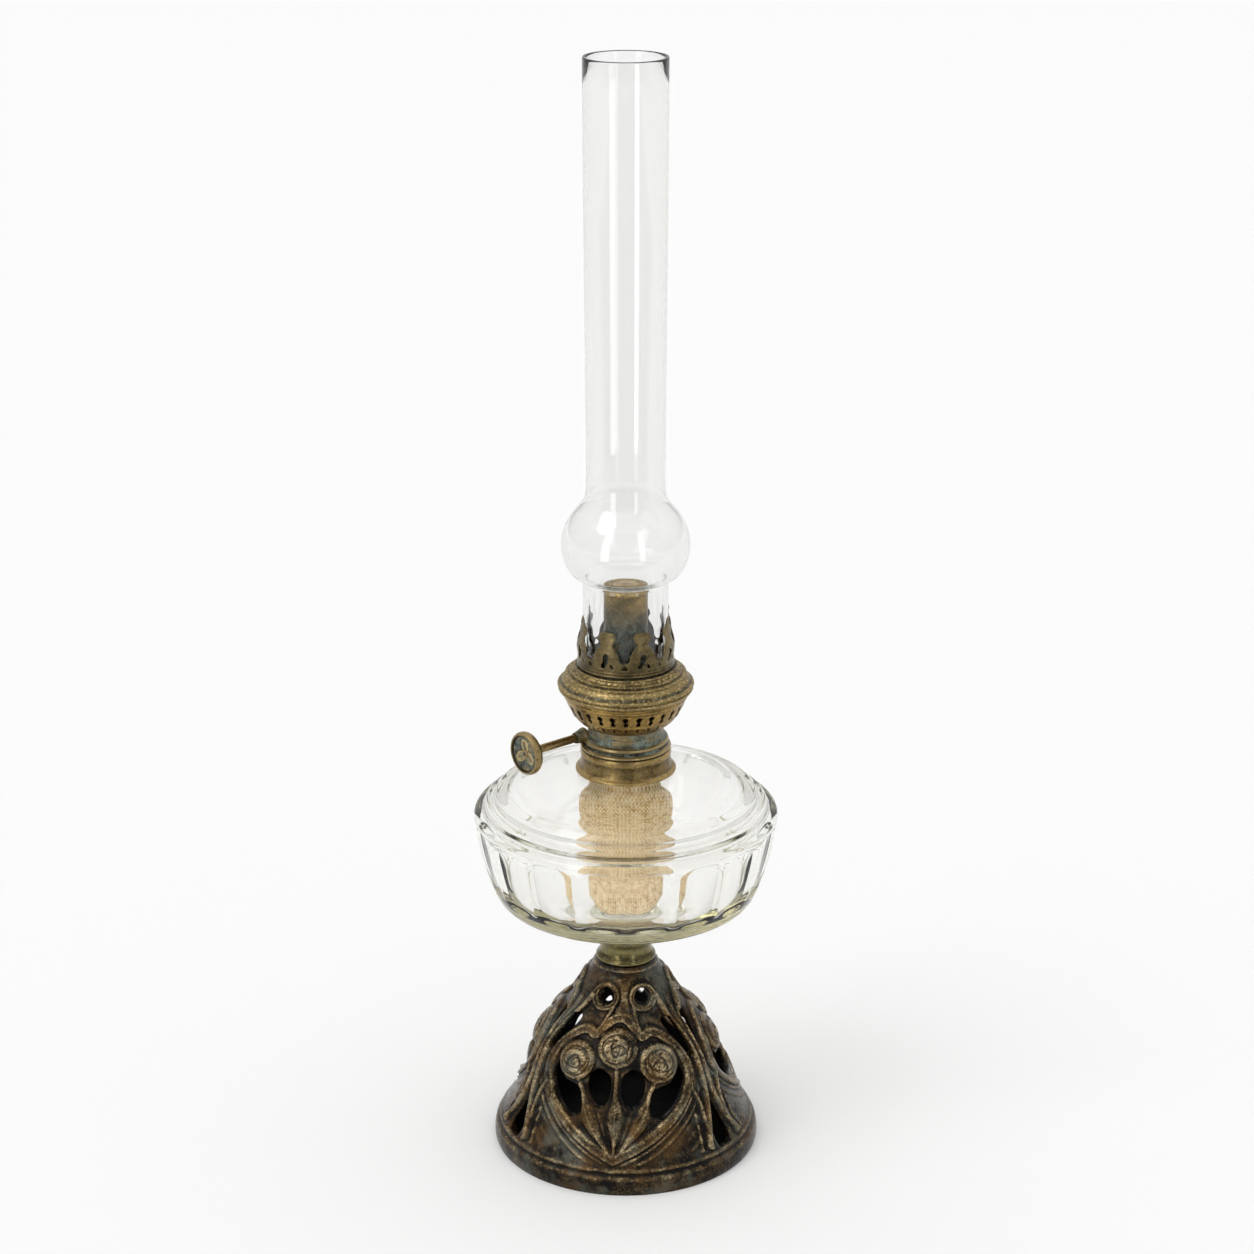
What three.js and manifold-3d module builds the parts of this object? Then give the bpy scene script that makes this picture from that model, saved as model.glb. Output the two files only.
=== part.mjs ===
// Table oil lamp with a round wick, in millimetres, +Z up.
// The origin is the centre of the foot's underside, on the lamp's axis; the front of the lamp faces -Y.
import * as THREE from 'three';
import { mergeVertices } from 'three/addons/utils/BufferGeometryUtils.js';
import Module from 'manifold-3d';

const wasm = await Module();
wasm.setup();

// ---------- driving dimensions ----------
const GAP = 0.3; // clearance between pieces that touch
const FACETS = 32; // facets round the metal parts
const RAD = Math.PI / 180;

const LAMP_HEIGHT = 562;

// foot
const FOOT_TOP = 101.3;
const FOOT_WALL = 3.6;
const FOOT_PANELS = 3;
const PANEL_TURN = -6; // degrees from the front to the middle of the front panel
const ROD_RADIUS = 4;
const WEB_BOTTOM = 95; // underside of the foot's solid top

// stem collar and the glass peg
const CUP_FLOOR = 107.5;
const CUP_TOP = 114.5;
const PEG_RADIUS = 8.5;

// font
const FLUTES = 18;
const FLUTE_DEPTH = 1.2;
const FONT_RADIUS = 77;
const NECK_TOP = 215.5;
const NECK_OUTER = 20.3;
const NECK_INNER = 17.6;

// burner
const SEAT = 218.3; // underside of the burner's flange
const THREAD_OUTER = 16.3;
const THREAD_INNER = 15.7;
const SHEET = 0.7; // brass sheet
const WICK_TUBE_OUTER = 11;
const WICK_TUBE_INNER = 10.5;
const TUBE_TOP = 302.9;
const MOUTH_RADIUS = 7.9; // the tube's lip is turned inwards
const DRAUGHT_OUTER = 7.1;
const DRAUGHT_INNER = 6.6;
const DRAUGHT_FLOOR = 233;
const DRAUGHT_TOP = 284;
const BASKET_SLOTS = 28;
const DECK_HOLES = 12;
const PRONGS = 8;

// wick, a flat strip curled into an open ring inside the burner
const WICK_THICK = 2.6;
const WICK_MIDDLE = 8.8; // radius of the ring's middle
const WICK_TIGHT = { middle: 6.2, from: 292, by: 296 }; // the ring's end, drawn together for the tube's lip
const WICK_WIDTH = 46;
const WICK_TOP = 302.2;
const WICK_BOTTOM = 143.5;
const WICK_OPENED = { width: 52, radius: 30, from: 206, by: 176 }; // the strip where it hangs in the font
const DUCT_AZIMUTH = 140; // direction of the air duct, in degrees from the front towards +X

// wick raiser: the spindle lies level, beside the wick tube
const SPINDLE_HEIGHT = 223.8;
const SPINDLE_YAW = 40; // degrees from +X towards +Y
const SPINDLE_OFFSET = 12.8; // from the lamp's axis
const JOURNAL_RADIUS = 1.4;
const ROD_OUTER = 2.1;
const KNOB_RADIUS = 11;
const KNOB_FACE = -55.6; // along the spindle, from its point nearest the axis
const KNOB_BACK = -51;
const HUB_END = -46.5;
const WHEEL_STATIONS = [-4.2, 4.2];
const WHEEL_TIP = 4;
const WHEEL_ROOT = 3;
const WHEEL_TEETH = 10;
const WHEEL_WIDTH = 1.5;

// chimney
const CHIMNEY_BOTTOM = 262.7;
const CHIMNEY_WALL = 1.6;

// ---------- materials ----------
const finish = (color, roughness, metalness, extra = {}) =>
  new THREE.MeshStandardMaterial({ color, roughness, metalness, ...extra });

const bronze = () => finish(0x4a3a26, 0.55, 0.8);
const steel = () => finish(0x6e6a64, 0.5, 0.9);
const brass = () => finish(0x8c7440, 0.42, 0.9);
const agedBrass = () => finish(0x6f6238, 0.5, 0.85);
const verdigris = () => finish(0x56685a, 0.65, 0.6);
const plaster = () => finish(0xd8d2c2, 0.95, 0);
const cotton = () => finish(0xc9ac78, 0.95, 0);
const glass = () => finish(0xdfe8e2, 0.05, 0, { transparent: true, opacity: 0.35 });

// ---------- geometry helpers ----------

// A closed three.js geometry as a solid for cutting and joining.
function toSolid(geometry) {
  const bare = geometry.clone();
  for (const name of ['normal', 'uv']) bare.deleteAttribute(name);
  const merged = mergeVertices(bare, 1e-4);
  const corners = merged.index.array;
  const kept = [];
  for (let i = 0; i < corners.length; i += 3) {
    const [a, b, c] = corners.slice(i, i + 3);
    if (a !== b && b !== c && c !== a) kept.push(a, b, c);
  }
  return new wasm.Manifold(
    new wasm.Mesh({
      numProp: 3,
      vertProperties: Float32Array.from(merged.attributes.position.array),
      triVerts: Uint32Array.from(kept),
    }),
  );
}

// A solid of revolution about Z. The outline of [radius, height] points is a closed loop, or it starts and
// ends on the axis. It runs so that the outside is climbed.
function turned(outline, facets = FACETS) {
  const points = outline.map(([radius, height]) => new THREE.Vector2(radius, height));
  const closed = outline[0][0] > 0 || outline[outline.length - 1][0] > 0;
  if (closed) points.push(points[0].clone());
  const geometry = new THREE.LatheGeometry(points, facets);
  geometry.rotateX(Math.PI / 2);
  return toSolid(geometry);
}

// A ring or tube with flat ends.
function ring(inner, outer, low, high, facets = FACETS) {
  return turned([[inner, low], [outer, low], [outer, high], [inner, high]], facets);
}

// A disc or rod on the Z axis.
function disc(radius, low, high, facets = FACETS) {
  return turned([[0, low], [radius, low], [radius, high], [0, high]], facets);
}

// An outline in a plane, extruded along its normal.
function prism(outline, depth) {
  const shape = new THREE.Shape(outline.map(([x, y]) => new THREE.Vector2(x, y)));
  return new THREE.ExtrudeGeometry(shape, { depth, bevelEnabled: false });
}

function block(sizeX, sizeY, sizeZ, x, y, z) {
  return new THREE.BoxGeometry(sizeX, sizeY, sizeZ).translate(x, y, z);
}

// A cutter that runs outwards from the axis at an azimuth. Its outline is [sideways, height].
function radialCutter(outline, azimuth, from, to) {
  const outward = new THREE.Vector3(Math.sin(azimuth * RAD), -Math.cos(azimuth * RAD), 0);
  const sideways = new THREE.Vector3(Math.cos(azimuth * RAD), Math.sin(azimuth * RAD), 0);
  const up = new THREE.Vector3(0, 0, 1);
  const geometry = prism(outline, to - from);
  geometry.applyMatrix4(new THREE.Matrix4().makeBasis(sideways, up, outward));
  geometry.translate(outward.x * from, outward.y * from, 0);
  return toSolid(geometry);
}

const cutAll = (solid, cutters) => cutters.reduce((rest, cutter) => rest.subtract(cutter), solid);

const lamp = new THREE.Group();

function addPart(name, solid, material) {
  const { vertProperties, triVerts } = solid.getMesh();
  const geometry = new THREE.BufferGeometry();
  geometry.setAttribute('position', new THREE.BufferAttribute(new Float32Array(vertProperties), 3));
  geometry.setIndex(new THREE.BufferAttribute(new Uint32Array(triVerts), 1));
  geometry.computeVertexNormals();
  const mesh = new THREE.Mesh(geometry, material);
  mesh.name = name;
  lamp.add(mesh);
}

// ---------- foot ----------

// Outside of the foot, from its rim to its top: [radius, height].
const FOOT_OUTSIDE = [
  [68.8, 0], [69.4, 3], [68.2, 8.5], [63.4, 16.5], [57, 30], [50.2, 50], [43.5, 64.5], [31, 78], [25, 87],
  [16.8, 98.6], [15.8, FOOT_TOP],
];

function footRadius(height) {
  const above = FOOT_OUTSIDE.findIndex(([, z]) => z >= height);
  const [r0, z0] = FOOT_OUTSIDE[above - 1];
  const [r1, z1] = FOOT_OUTSIDE[above];
  return r0 + ((r1 - r0) * (height - z0)) / (z1 - z0);
}

// Openings of half a relief panel: [degrees from the panel's middle, height]. The other half mirrors them.
const OUTER_GAP = [[43, 56.5], [46, 50], [41, 41], [31, 34.5], [23, 33], [20, 38], [21.5, 46], [31, 49.5]];
const INNER_GAP = [[12, 57.5], [18, 53.5], [17, 46], [11.5, 40], [6.5, 40.5], [3.5, 47], [3.8, 54]];
const SHOULDER_GAP = [[44, 76.5], [54, 77], [57, 70], [57, 59], [50.5, 66], [44.5, 71.5]];
const BASE_GAP = [[60, 36], [54.6, 20], [55.4, 12.6], [64.6, 12.6], [65.4, 20]];
const EYE = { azimuth: 24, height: 88.6, halfWidth: 3.2, halfHeight: 3.8 };

function wallOpening(outline, panel, mirror) {
  const middle = outline.reduce((sum, [azimuth]) => sum + azimuth, 0) / outline.length;
  const flat = outline.map(([azimuth, height]) => [
    mirror * footRadius(height) * Math.sin((azimuth - middle) * RAD),
    height,
  ]);
  return radialCutter(mirror > 0 ? flat : flat.reverse(), panel + mirror * middle, 12, 80);
}

function eyeOpening(panel, mirror) {
  const corners = 8;
  const outline = [];
  for (let i = 0; i < corners; i++) {
    const angle = (2 * Math.PI * i) / corners;
    outline.push([EYE.halfWidth * Math.cos(angle), EYE.height + EYE.halfHeight * Math.sin(angle)]);
  }
  return radialCutter(outline, panel + mirror * EYE.azimuth, 8, 40);
}

function footCasting() {
  const boltHole = ROD_RADIUS + GAP;
  const shell = turned(
    [
      ...FOOT_OUTSIDE, [boltHole, FOOT_TOP], [boltHole, WEB_BOTTOM], [15, WEB_BOTTOM], [21, 85.6],
      [27, 75.4], [39, 62.4], [45.6, 49], [52.6, 29], [59, 15.4], [63.4, 7.5],
      [FOOT_OUTSIDE[0][0] - FOOT_WALL, 0],
    ],
    36,
  );
  const cutters = [];
  for (let i = 0; i < FOOT_PANELS; i++) {
    const panel = PANEL_TURN + (360 / FOOT_PANELS) * i;
    for (const mirror of [1, -1]) {
      for (const gap of [OUTER_GAP, INNER_GAP, SHOULDER_GAP]) cutters.push(wallOpening(gap, panel, mirror));
      cutters.push(eyeOpening(panel, mirror));
    }
    cutters.push(wallOpening(BASE_GAP, panel, 1));
  }
  return cutAll(shell, cutters);
}

addPart('foot_casting', footCasting(), bronze());
addPart('foot_washer', ring(ROD_RADIUS + GAP, 9.5, WEB_BOTTOM - GAP - 1.4, WEB_BOTTOM - GAP), steel());
addPart('foot_nut', disc(7.5, 87, 93, 6).subtract(disc(ROD_RADIUS + GAP, 86, 94)), steel());

// The bolt's round head lies in the bottom of the stem collar's cup.
addPart(
  'tie_rod',
  turned([
    [0, 84], [ROD_RADIUS, 84], [ROD_RADIUS, CUP_FLOOR + GAP], [7.5, CUP_FLOOR + GAP], [7.5, 109.4],
    [6.5, 110], [0, 110],
  ]),
  steel(),
);

addPart(
  'stem_collar',
  turned([
    [ROD_RADIUS + GAP, FOOT_TOP + GAP], [15, FOOT_TOP + GAP], [15.4, 103], [13.7, 106.2], [13.3, 108.6],
    [14.2, 113.4], [13.8, CUP_TOP], [12, CUP_TOP], [11.6, CUP_FLOOR],
    [ROD_RADIUS + GAP, CUP_FLOOR],
  ]),
  agedBrass(),
);

// Plaster fills the cup below and round the glass peg.
addPart(
  'peg_plaster',
  turned([
    [0, 110.3], [11.3, 110.3], [11.3, 113.2], [11.6, 113.9], [PEG_RADIUS + GAP, 113.9],
    [PEG_RADIUS + GAP, 111.9], [0, 111.9],
  ]),
  plaster(),
);

// ---------- glass font ----------

// Outside of the font, from the peg to the neck's rim.
const FONT_OUTSIDE = [
  [0, 112.2], [PEG_RADIUS, 112.2], [PEG_RADIUS, 114.9], [14.2, 115.1], [25, 124], [40, 130.2], [58, 135.6],
  [65.2, 139.2], [68.8, 147], [73.1, 161], [76.2, 176], [FONT_RADIUS, 181], [76.6, 184], [72.4, 186.6],
  [70.6, 189.4], [66.8, 190.4], [64.6, 195], [56, 198.4], [48, 201], [34, 204.5], [NECK_OUTER + 1.6, 205.7],
  [NECK_OUTER, 207], [NECK_OUTER, NECK_TOP],
];
const FONT_INSIDE = [
  [NECK_INNER, NECK_TOP], [NECK_INNER, 203.5], [20, 201.6], [44, 197.6], [61, 190], [70.5, 181], [67, 160],
  [63, 149], [57, 143.6], [20, 133.6], [0, 132],
];

// The side is scooped between ridges: every second facet line is drawn in.
function fluted(geometry) {
  const place = geometry.attributes.position;
  for (let i = 0; i < place.count; i++) {
    const x = place.getX(i);
    const y = place.getY(i);
    const radius = Math.hypot(x, y);
    const height = place.getZ(i);
    const ridge = Math.round((Math.atan2(x, -y) / (2 * Math.PI)) * FLUTES * 2) % 2 === 0;
    if (ridge || radius < 64 || height < 146 || height > 177) continue;
    const scale = (radius - FLUTE_DEPTH) / radius;
    place.setXY(i, x * scale, y * scale);
  }
  return geometry;
}

function glassFont() {
  const profile = [...FONT_OUTSIDE, ...FONT_INSIDE];
  const outline = profile.map(([radius, height]) => new THREE.Vector2(radius, height));
  const geometry = new THREE.LatheGeometry(outline, FLUTES * 2);
  geometry.rotateX(Math.PI / 2);
  geometry.deleteAttribute('normal');
  geometry.deleteAttribute('uv');
  return toSolid(fluted(geometry));
}

addPart('glass_font', glassFont(), glass());

const COLLAR_TOP = SEAT - GAP;
addPart('neck_plaster', ring(NECK_OUTER + GAP, 21.6, 208.5, 216.8), plaster());
addPart(
  'font_collar',
  turned([
    [24.2, 206.1], [25.3, 206.1], [25.3, 207.3], [23.8, 208], [22.9, 209.8], [22.6, 214.5], [22.9, 216.6],
    [22.6, COLLAR_TOP], [16.6, COLLAR_TOP], [16.6, 207], [17.3, 207], [17.3, 217.1], [21.9, 217.1],
    [21.9, 208.4], [22.6, 207.2], [24.2, 206.7],
  ]),
  brass(),
);

// ---------- burner base ----------

// Frame of the spindle: X along it, away from the knob, Y away from the lamp's axis, Z up.
const along = new THREE.Vector3(Math.cos(SPINDLE_YAW * RAD), Math.sin(SPINDLE_YAW * RAD), 0);
const aside = new THREE.Vector3(-Math.sin(SPINDLE_YAW * RAD), Math.cos(SPINDLE_YAW * RAD), 0);
const spindleFrame = new THREE.Matrix4()
  .makeBasis(along, aside, new THREE.Vector3(0, 0, 1))
  .setPosition(aside.x * SPINDLE_OFFSET, aside.y * SPINDLE_OFFSET, SPINDLE_HEIGHT);

// A solid turned about the spindle: the outline's heights become stations along it.
function onSpindle(outline, facets = 24) {
  const points = outline.map(([radius, station]) => new THREE.Vector2(radius, station));
  if (outline[0][0] > 0) points.push(points[0].clone());
  const geometry = new THREE.LatheGeometry(points, facets);
  geometry.rotateZ(-Math.PI / 2);
  geometry.applyMatrix4(spindleFrame);
  return toSolid(geometry);
}

function spindleRod(radius, from, to, facets = 24) {
  return onSpindle([[0, from], [radius, from], [radius, to], [0, to]], facets);
}

function onSpindleFrame(geometry) {
  return toSolid(geometry.applyMatrix4(spindleFrame));
}

// Outside of the base above its flange, from the seat to the top edge.
const BASE_OUTSIDE = [
  [22.8, SEAT], [22.6, 219.5], [20.8, 220.4], [21.3, 221.8], [20.9, 223.2], [19.4, 225.2], [19.2, 228],
  [20, 231],
];

function burnerBase() {
  const shell = turned([
    [THREAD_INNER, 208], [THREAD_OUTER, 208], [THREAD_OUTER, SEAT], ...BASE_OUTSIDE, [19.3, 231],
    [18.5, 228], [18.7, 225], [20.2, 222.6], [19.6, 219.1], [THREAD_INNER, 219.1],
  ]);
  return shell.subtract(spindleRod(ROD_OUTER + GAP, -30, 0));
}

addPart('burner_base', burnerBase(), verdigris());

// A boss outside the base's wall, shaped to it.
function spindleSleeve() {
  const bore = ROD_OUTER + GAP;
  const cone = onSpindle([[4.6, -14], [bore, -14], [bore, -24], [3.1, -24], [3.3, -22]]);
  const envelope = BASE_OUTSIDE.map(([radius, height]) => [radius + GAP, height]);
  return cone.subtract(turned([[0, SEAT - 5], [22.8 + GAP, SEAT - 5], ...envelope, [0, 231]]));
}

addPart('spindle_sleeve', spindleSleeve(), verdigris());

// The plate closes the base round the wick tube.
addPart('tube_plate', ring(WICK_TUBE_OUTER + GAP, THREAD_INNER - GAP, 209, 209.8), agedBrass());

// ---------- wick raiser ----------

// An upside-down U over the spindle, with a bearing hole in each leg.
function wheelBracket() {
  const legAt = 8.4;
  const low = -1.9;
  const high = 5;
  const outline = [
    [-legAt, low], [-legAt + SHEET, low], [-legAt + SHEET, high - SHEET], [legAt - SHEET, high - SHEET],
    [legAt - SHEET, low], [legAt, low], [legAt, high], [-legAt, high],
  ];
  const width = 4.4;
  const bent = prism(outline, width);
  bent.rotateX(Math.PI / 2);
  bent.translate(0, width / 2 + 0.7, 0);
  return onSpindleFrame(bent).subtract(spindleRod(JOURNAL_RADIUS + GAP, -12, 12));
}

function wickSpindle() {
  const rod = onSpindle([
    [0, -54.6], [ROD_OUTER, -54.6], [ROD_OUTER, -13], [JOURNAL_RADIUS, -12.4], [JOURNAL_RADIUS, 10.6],
    [1, 11], [0, 11],
  ]);
  return rod.subtract(pinHole());
}

// One tooth of a spur wheel: share of the tooth's step, and radius.
const TOOTH = [[-0.32, WHEEL_ROOT], [-0.12, WHEEL_TIP], [0.12, WHEEL_TIP], [0.32, WHEEL_ROOT]];

// A toothed disc on the spindle.
function spurWheel(station) {
  const outline = [];
  const step = (2 * Math.PI) / WHEEL_TEETH;
  for (let tooth = 0; tooth < WHEEL_TEETH; tooth++) {
    for (const [share, radius] of TOOTH) {
      const angle = (tooth + share) * step;
      outline.push([radius * Math.cos(angle), radius * Math.sin(angle)]);
    }
  }
  const wheel = prism(outline, WHEEL_WIDTH);
  wheel.rotateY(Math.PI / 2);
  wheel.translate(station - WHEEL_WIDTH / 2, 0, 0);
  return onSpindleFrame(wheel).subtract(spindleRod(JOURNAL_RADIUS + GAP, -12, 12));
}

const PIN_STATION = -48.6;
const PIN_RADIUS = 0.8;

function crossPin(radius, halfLength) {
  const pin = new THREE.CylinderGeometry(radius, radius, 2 * halfLength, 12);
  pin.rotateX(Math.PI / 2);
  pin.translate(PIN_STATION, 0, 0);
  return onSpindleFrame(pin);
}

function pinHole() {
  return crossPin(PIN_RADIUS + GAP, 12);
}

// A dished disc with a rolled rim and a hub behind it.
function wickKnob() {
  const bore = ROD_OUTER + GAP;
  const knob = onSpindle(
    [
      [bore, HUB_END], [bore, -55], [3.4, -55], [8.6, -54.2], [10, KNOB_FACE], [KNOB_RADIUS, -54],
      [KNOB_RADIUS, -52.4], [9.8, KNOB_BACK], [8.6, -51.6], [4.6, -51.4], [4.2, -49.5], [4.2, HUB_END],
    ],
    24,
  );
  return knob.subtract(pinHole());
}

addPart('wheel_bracket', wheelBracket(), agedBrass());
addPart('wick_spindle', wickSpindle(), agedBrass());
WHEEL_STATIONS.forEach((station, i) => addPart(`spur_wheel_${i + 1}`, spurWheel(station), brass()));
addPart('wick_knob', wickKnob(), agedBrass());
addPart('knob_pin', crossPin(PIN_RADIUS, 5.4), steel());

// ---------- wick tube, draught tube and wick ----------

const DUCT = { low: 236, high: 250, halfWidth: 2.6 };

function ductWindow(clearance, from, to) {
  const halfWidth = DUCT.halfWidth + clearance;
  const outline = [
    [-halfWidth, DUCT.low - clearance],
    [halfWidth, DUCT.low - clearance],
    [halfWidth, DUCT.high + clearance],
    [-halfWidth, DUCT.high + clearance],
  ];
  return radialCutter(outline, DUCT_AZIMUTH, from, to);
}

// Windows in the wick tube's wall, where the spur wheels reach the wick.
function wheelWindow(station) {
  const halfWidth = WHEEL_WIDTH / 2 + GAP;
  const reach = WHEEL_TIP + GAP;
  return onSpindleFrame(block(2 * halfWidth, 6, 2 * reach, station, -3, 0));
}

function wickTube() {
  const wall = turned([
    [WICK_TUBE_INNER, 207.5], [WICK_TUBE_OUTER, 207.5], [WICK_TUBE_OUTER, 300.8], [11.35, 301.6],
    [11.2, 302.5], [10.8, TUBE_TOP], [MOUTH_RADIUS, TUBE_TOP - 0.5], [MOUTH_RADIUS, TUBE_TOP - 1.1],
    [WICK_TUBE_INNER, TUBE_TOP - 1.1],
  ]);
  return cutAll(wall, [ductWindow(0, 8, 14), ...WHEEL_STATIONS.map(wheelWindow)]);
}

function draughtTube() {
  const cup = turned([
    [0, DRAUGHT_FLOOR], [DRAUGHT_OUTER, DRAUGHT_FLOOR], [DRAUGHT_OUTER, DRAUGHT_TOP],
    [DRAUGHT_INNER, DRAUGHT_TOP], [DRAUGHT_INNER, DRAUGHT_FLOOR + SHEET], [0, DRAUGHT_FLOOR + SHEET],
  ]);
  return cup.subtract(ductWindow(0, 3, 9));
}

// A frame of sheet between the two tubes' windows, with its ends rounded to them.
function airDuct() {
  const frame = ductWindow(0, 5, 13).subtract(ductWindow(-SHEET, 4, 14));
  const between = ring(DRAUGHT_OUTER + GAP, WICK_TUBE_INNER - GAP, 230, 256);
  return frame.intersect(between);
}

// Rows of the wick's mesh, from its foot to its mouth.
const WICK_ROWS = [
  WICK_BOTTOM, 158, 171, 179, 185, 190, 195, 200, 206.5, WICK_TIGHT.from, WICK_TIGHT.by, WICK_TOP,
];

// A point of the wick: across its strip and through its thickness, both from -0.5 to 0.5, at a height.
// Below the burner the ring opens out, and its middle turns to the front.
function wickPoint(across, through, height) {
  const opened = THREE.MathUtils.smoothstep(-height, -WICK_OPENED.from, -WICK_OPENED.by);
  const radius = 1 / THREE.MathUtils.lerp(1 / WICK_MIDDLE, 1 / WICK_OPENED.radius, opened);
  const width = THREE.MathUtils.lerp(WICK_WIDTH, WICK_OPENED.width, opened);
  const middle = (1 - opened) * (DUCT_AZIMUTH - 180) * RAD;
  const angle = middle + (across * width) / radius;
  const back = WICK_MIDDLE - radius;
  const tight = THREE.MathUtils.smoothstep(height, WICK_TIGHT.from, WICK_TIGHT.by);
  const out = radius + through * WICK_THICK - tight * (WICK_MIDDLE - WICK_TIGHT.middle);
  return new THREE.Vector3(
    back * Math.sin(middle) + out * Math.sin(angle),
    -back * Math.cos(middle) - out * Math.cos(angle),
    height,
  );
}

// The strip's ring is pressed in where the spur wheels run.
function wick() {
  const rows = WICK_ROWS.length - 1;
  const strip = new THREE.BoxGeometry(1, 1, rows, 24, 1, rows);
  const place = strip.attributes.position;
  for (let i = 0; i < place.count; i++) {
    const row = Math.round(place.getZ(i) + rows / 2);
    const point = wickPoint(place.getX(i), -place.getY(i), WICK_ROWS[row]);
    place.setXYZ(i, point.x, point.y, point.z);
  }
  const channels = WHEEL_STATIONS.map((station) => {
    const reach = SPINDLE_OFFSET - WHEEL_TIP - GAP;
    return onSpindleFrame(block(WHEEL_WIDTH + 2 * GAP, 6, 28, station, reach - SPINDLE_OFFSET + 3, 2));
  });
  return cutAll(toSolid(strip), channels);
}

addPart('wick_tube', wickTube(), brass());
addPart('draught_tube', draughtTube(), agedBrass());
addPart('air_duct', airDuct(), agedBrass());
addPart('wick', wick(), cotton());

// ---------- basket, deck and crown ----------

function basket() {
  const shell = turned(
    [
      [16, 231.3], [20, 231.3], [22.4, 232.5], [26.4, 236.8], [29.6, 242.8], [31.3, 248.1], [30.6, 248.1],
      [28.9, 243], [25.8, 237.2], [22, 233.2], [16, 232],
    ],
    BASKET_SLOTS,
  );
  const slots = [];
  for (let i = 0; i < BASKET_SLOTS; i++) {
    const azimuth = (360 / BASKET_SLOTS) * i;
    slots.push(radialCutter([[-1.3, 238.2], [1.3, 238.2], [1.6, 243.2], [-1.6, 243.2]], azimuth, 22, 34));
  }
  return cutAll(shell, slots);
}

function galleryDeck() {
  const plate = turned([
    [14.5, 261.6], [23.6, 261.6], [26.8, 258.5], [29.6, 257], [33.2, 252], [32.4, 249.6], [29, 249.2],
    [29, 248.5], [32.6, 248.5], [34.2, 251.2], [33.8, 252.9], [30.6, 257], [27.8, 259.4], [25.2, 262.3],
    [14.5, 262.3],
  ]);
  const holes = [];
  for (let i = 0; i < DECK_HOLES; i++) {
    const hole = new THREE.CylinderGeometry(1.2, 1.2, 6, 6);
    hole.rotateX(Math.PI / 2);
    hole.translate(0, -17.6, 262);
    hole.rotateZ((2 * Math.PI * i) / DECK_HOLES);
    holes.push(toSolid(hole));
  }
  return cutAll(plate, holes);
}

// A band with U-shaped cuts between leaf-shaped prongs.
function galleryCrown() {
  const outside = [[24.2, 262.6], [24.1, 268], [24.5, 273], [22.7, 283], [22.9, 290]];
  const inside = outside.map(([radius, height]) => [radius - SHEET, height]).reverse();
  const band = turned([...outside, ...inside], 32);
  const between = [
    [-2, 270.6], [2, 270.6], [4.2, 275], [3.4, 280], [7, 287], [7.8, 292], [-7.8, 292], [-7, 287],
    [-3.4, 280], [-4.2, 275],
  ];
  const keyhole = [[-0.6, 275], [0.6, 275], [1.6, 267.2], [0, 271.5], [-1.6, 267.2]];
  const cutters = [];
  for (let i = 0; i < PRONGS; i++) {
    const gap = (360 / PRONGS) * i;
    cutters.push(radialCutter(between, gap, 12, 30));
    cutters.push(radialCutter(keyhole, gap + 180 / PRONGS, 12, 30));
  }
  return cutAll(band, cutters);
}

addPart('basket', basket(), agedBrass());
addPart('gallery_deck', galleryDeck(), brass());
addPart('gallery_crown', galleryCrown(), brass());

// ---------- chimney ----------

// Outside of the chimney, from the fitter to the top rim.
const CHIMNEY_OUTSIDE = [
  [21.1, CHIMNEY_BOTTOM], [20.9, 306.6], [24.6, 308.2], [28, 311.6], [30.7, 317.6], [31.7, 324], [31, 330.4],
  [28.8, 336.6], [25.6, 341.4], [22, 345.4], [19.4, 351], [19.4, 375], [20.4, LAMP_HEIGHT],
];

function chimney() {
  const inside = CHIMNEY_OUTSIDE.map(([radius, height]) => [radius - CHIMNEY_WALL, height]).reverse();
  const fold = inside.findIndex(([, height]) => height === 308.2);
  inside[fold] = [inside[fold][0], 309.6];
  inside[fold + 1] = [inside[fold + 1][0], 307.6];
  return turned([...CHIMNEY_OUTSIDE, ...inside], 24);
}

addPart('chimney', chimney(), glass());

export default lamp;
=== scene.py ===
"""Looks of a round-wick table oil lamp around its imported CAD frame.

Outlines below are in millimetres, [radius, height], with the lamp's axis on Z and its foot at height 0.
Azimuths are in degrees from the lamp's front (-Y) towards +X.
"""
import math

import bpy
import numpy as np
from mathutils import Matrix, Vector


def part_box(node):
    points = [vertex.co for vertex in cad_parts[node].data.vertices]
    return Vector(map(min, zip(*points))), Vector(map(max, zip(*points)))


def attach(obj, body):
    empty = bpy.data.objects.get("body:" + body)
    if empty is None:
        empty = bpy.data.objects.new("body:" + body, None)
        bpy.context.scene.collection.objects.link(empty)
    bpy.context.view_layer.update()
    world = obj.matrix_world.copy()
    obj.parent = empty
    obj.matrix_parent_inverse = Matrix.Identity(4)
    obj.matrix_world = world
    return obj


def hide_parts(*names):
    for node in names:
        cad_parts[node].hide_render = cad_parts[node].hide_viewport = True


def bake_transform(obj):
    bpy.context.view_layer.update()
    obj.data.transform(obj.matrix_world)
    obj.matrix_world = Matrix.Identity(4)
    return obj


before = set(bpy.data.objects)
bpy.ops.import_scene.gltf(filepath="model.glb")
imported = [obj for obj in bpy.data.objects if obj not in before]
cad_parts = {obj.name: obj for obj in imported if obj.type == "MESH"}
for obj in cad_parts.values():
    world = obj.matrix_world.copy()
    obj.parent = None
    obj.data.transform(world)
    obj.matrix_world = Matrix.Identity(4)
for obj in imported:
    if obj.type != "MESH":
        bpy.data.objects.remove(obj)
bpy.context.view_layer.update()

MM = 0.001
TAU = 2 * math.pi


def node_top(name):
    """The highest point of a CAD node, in millimetres."""
    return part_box(name)[1][2] / MM


# ---------------------------------------------------------------- shader helpers


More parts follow.
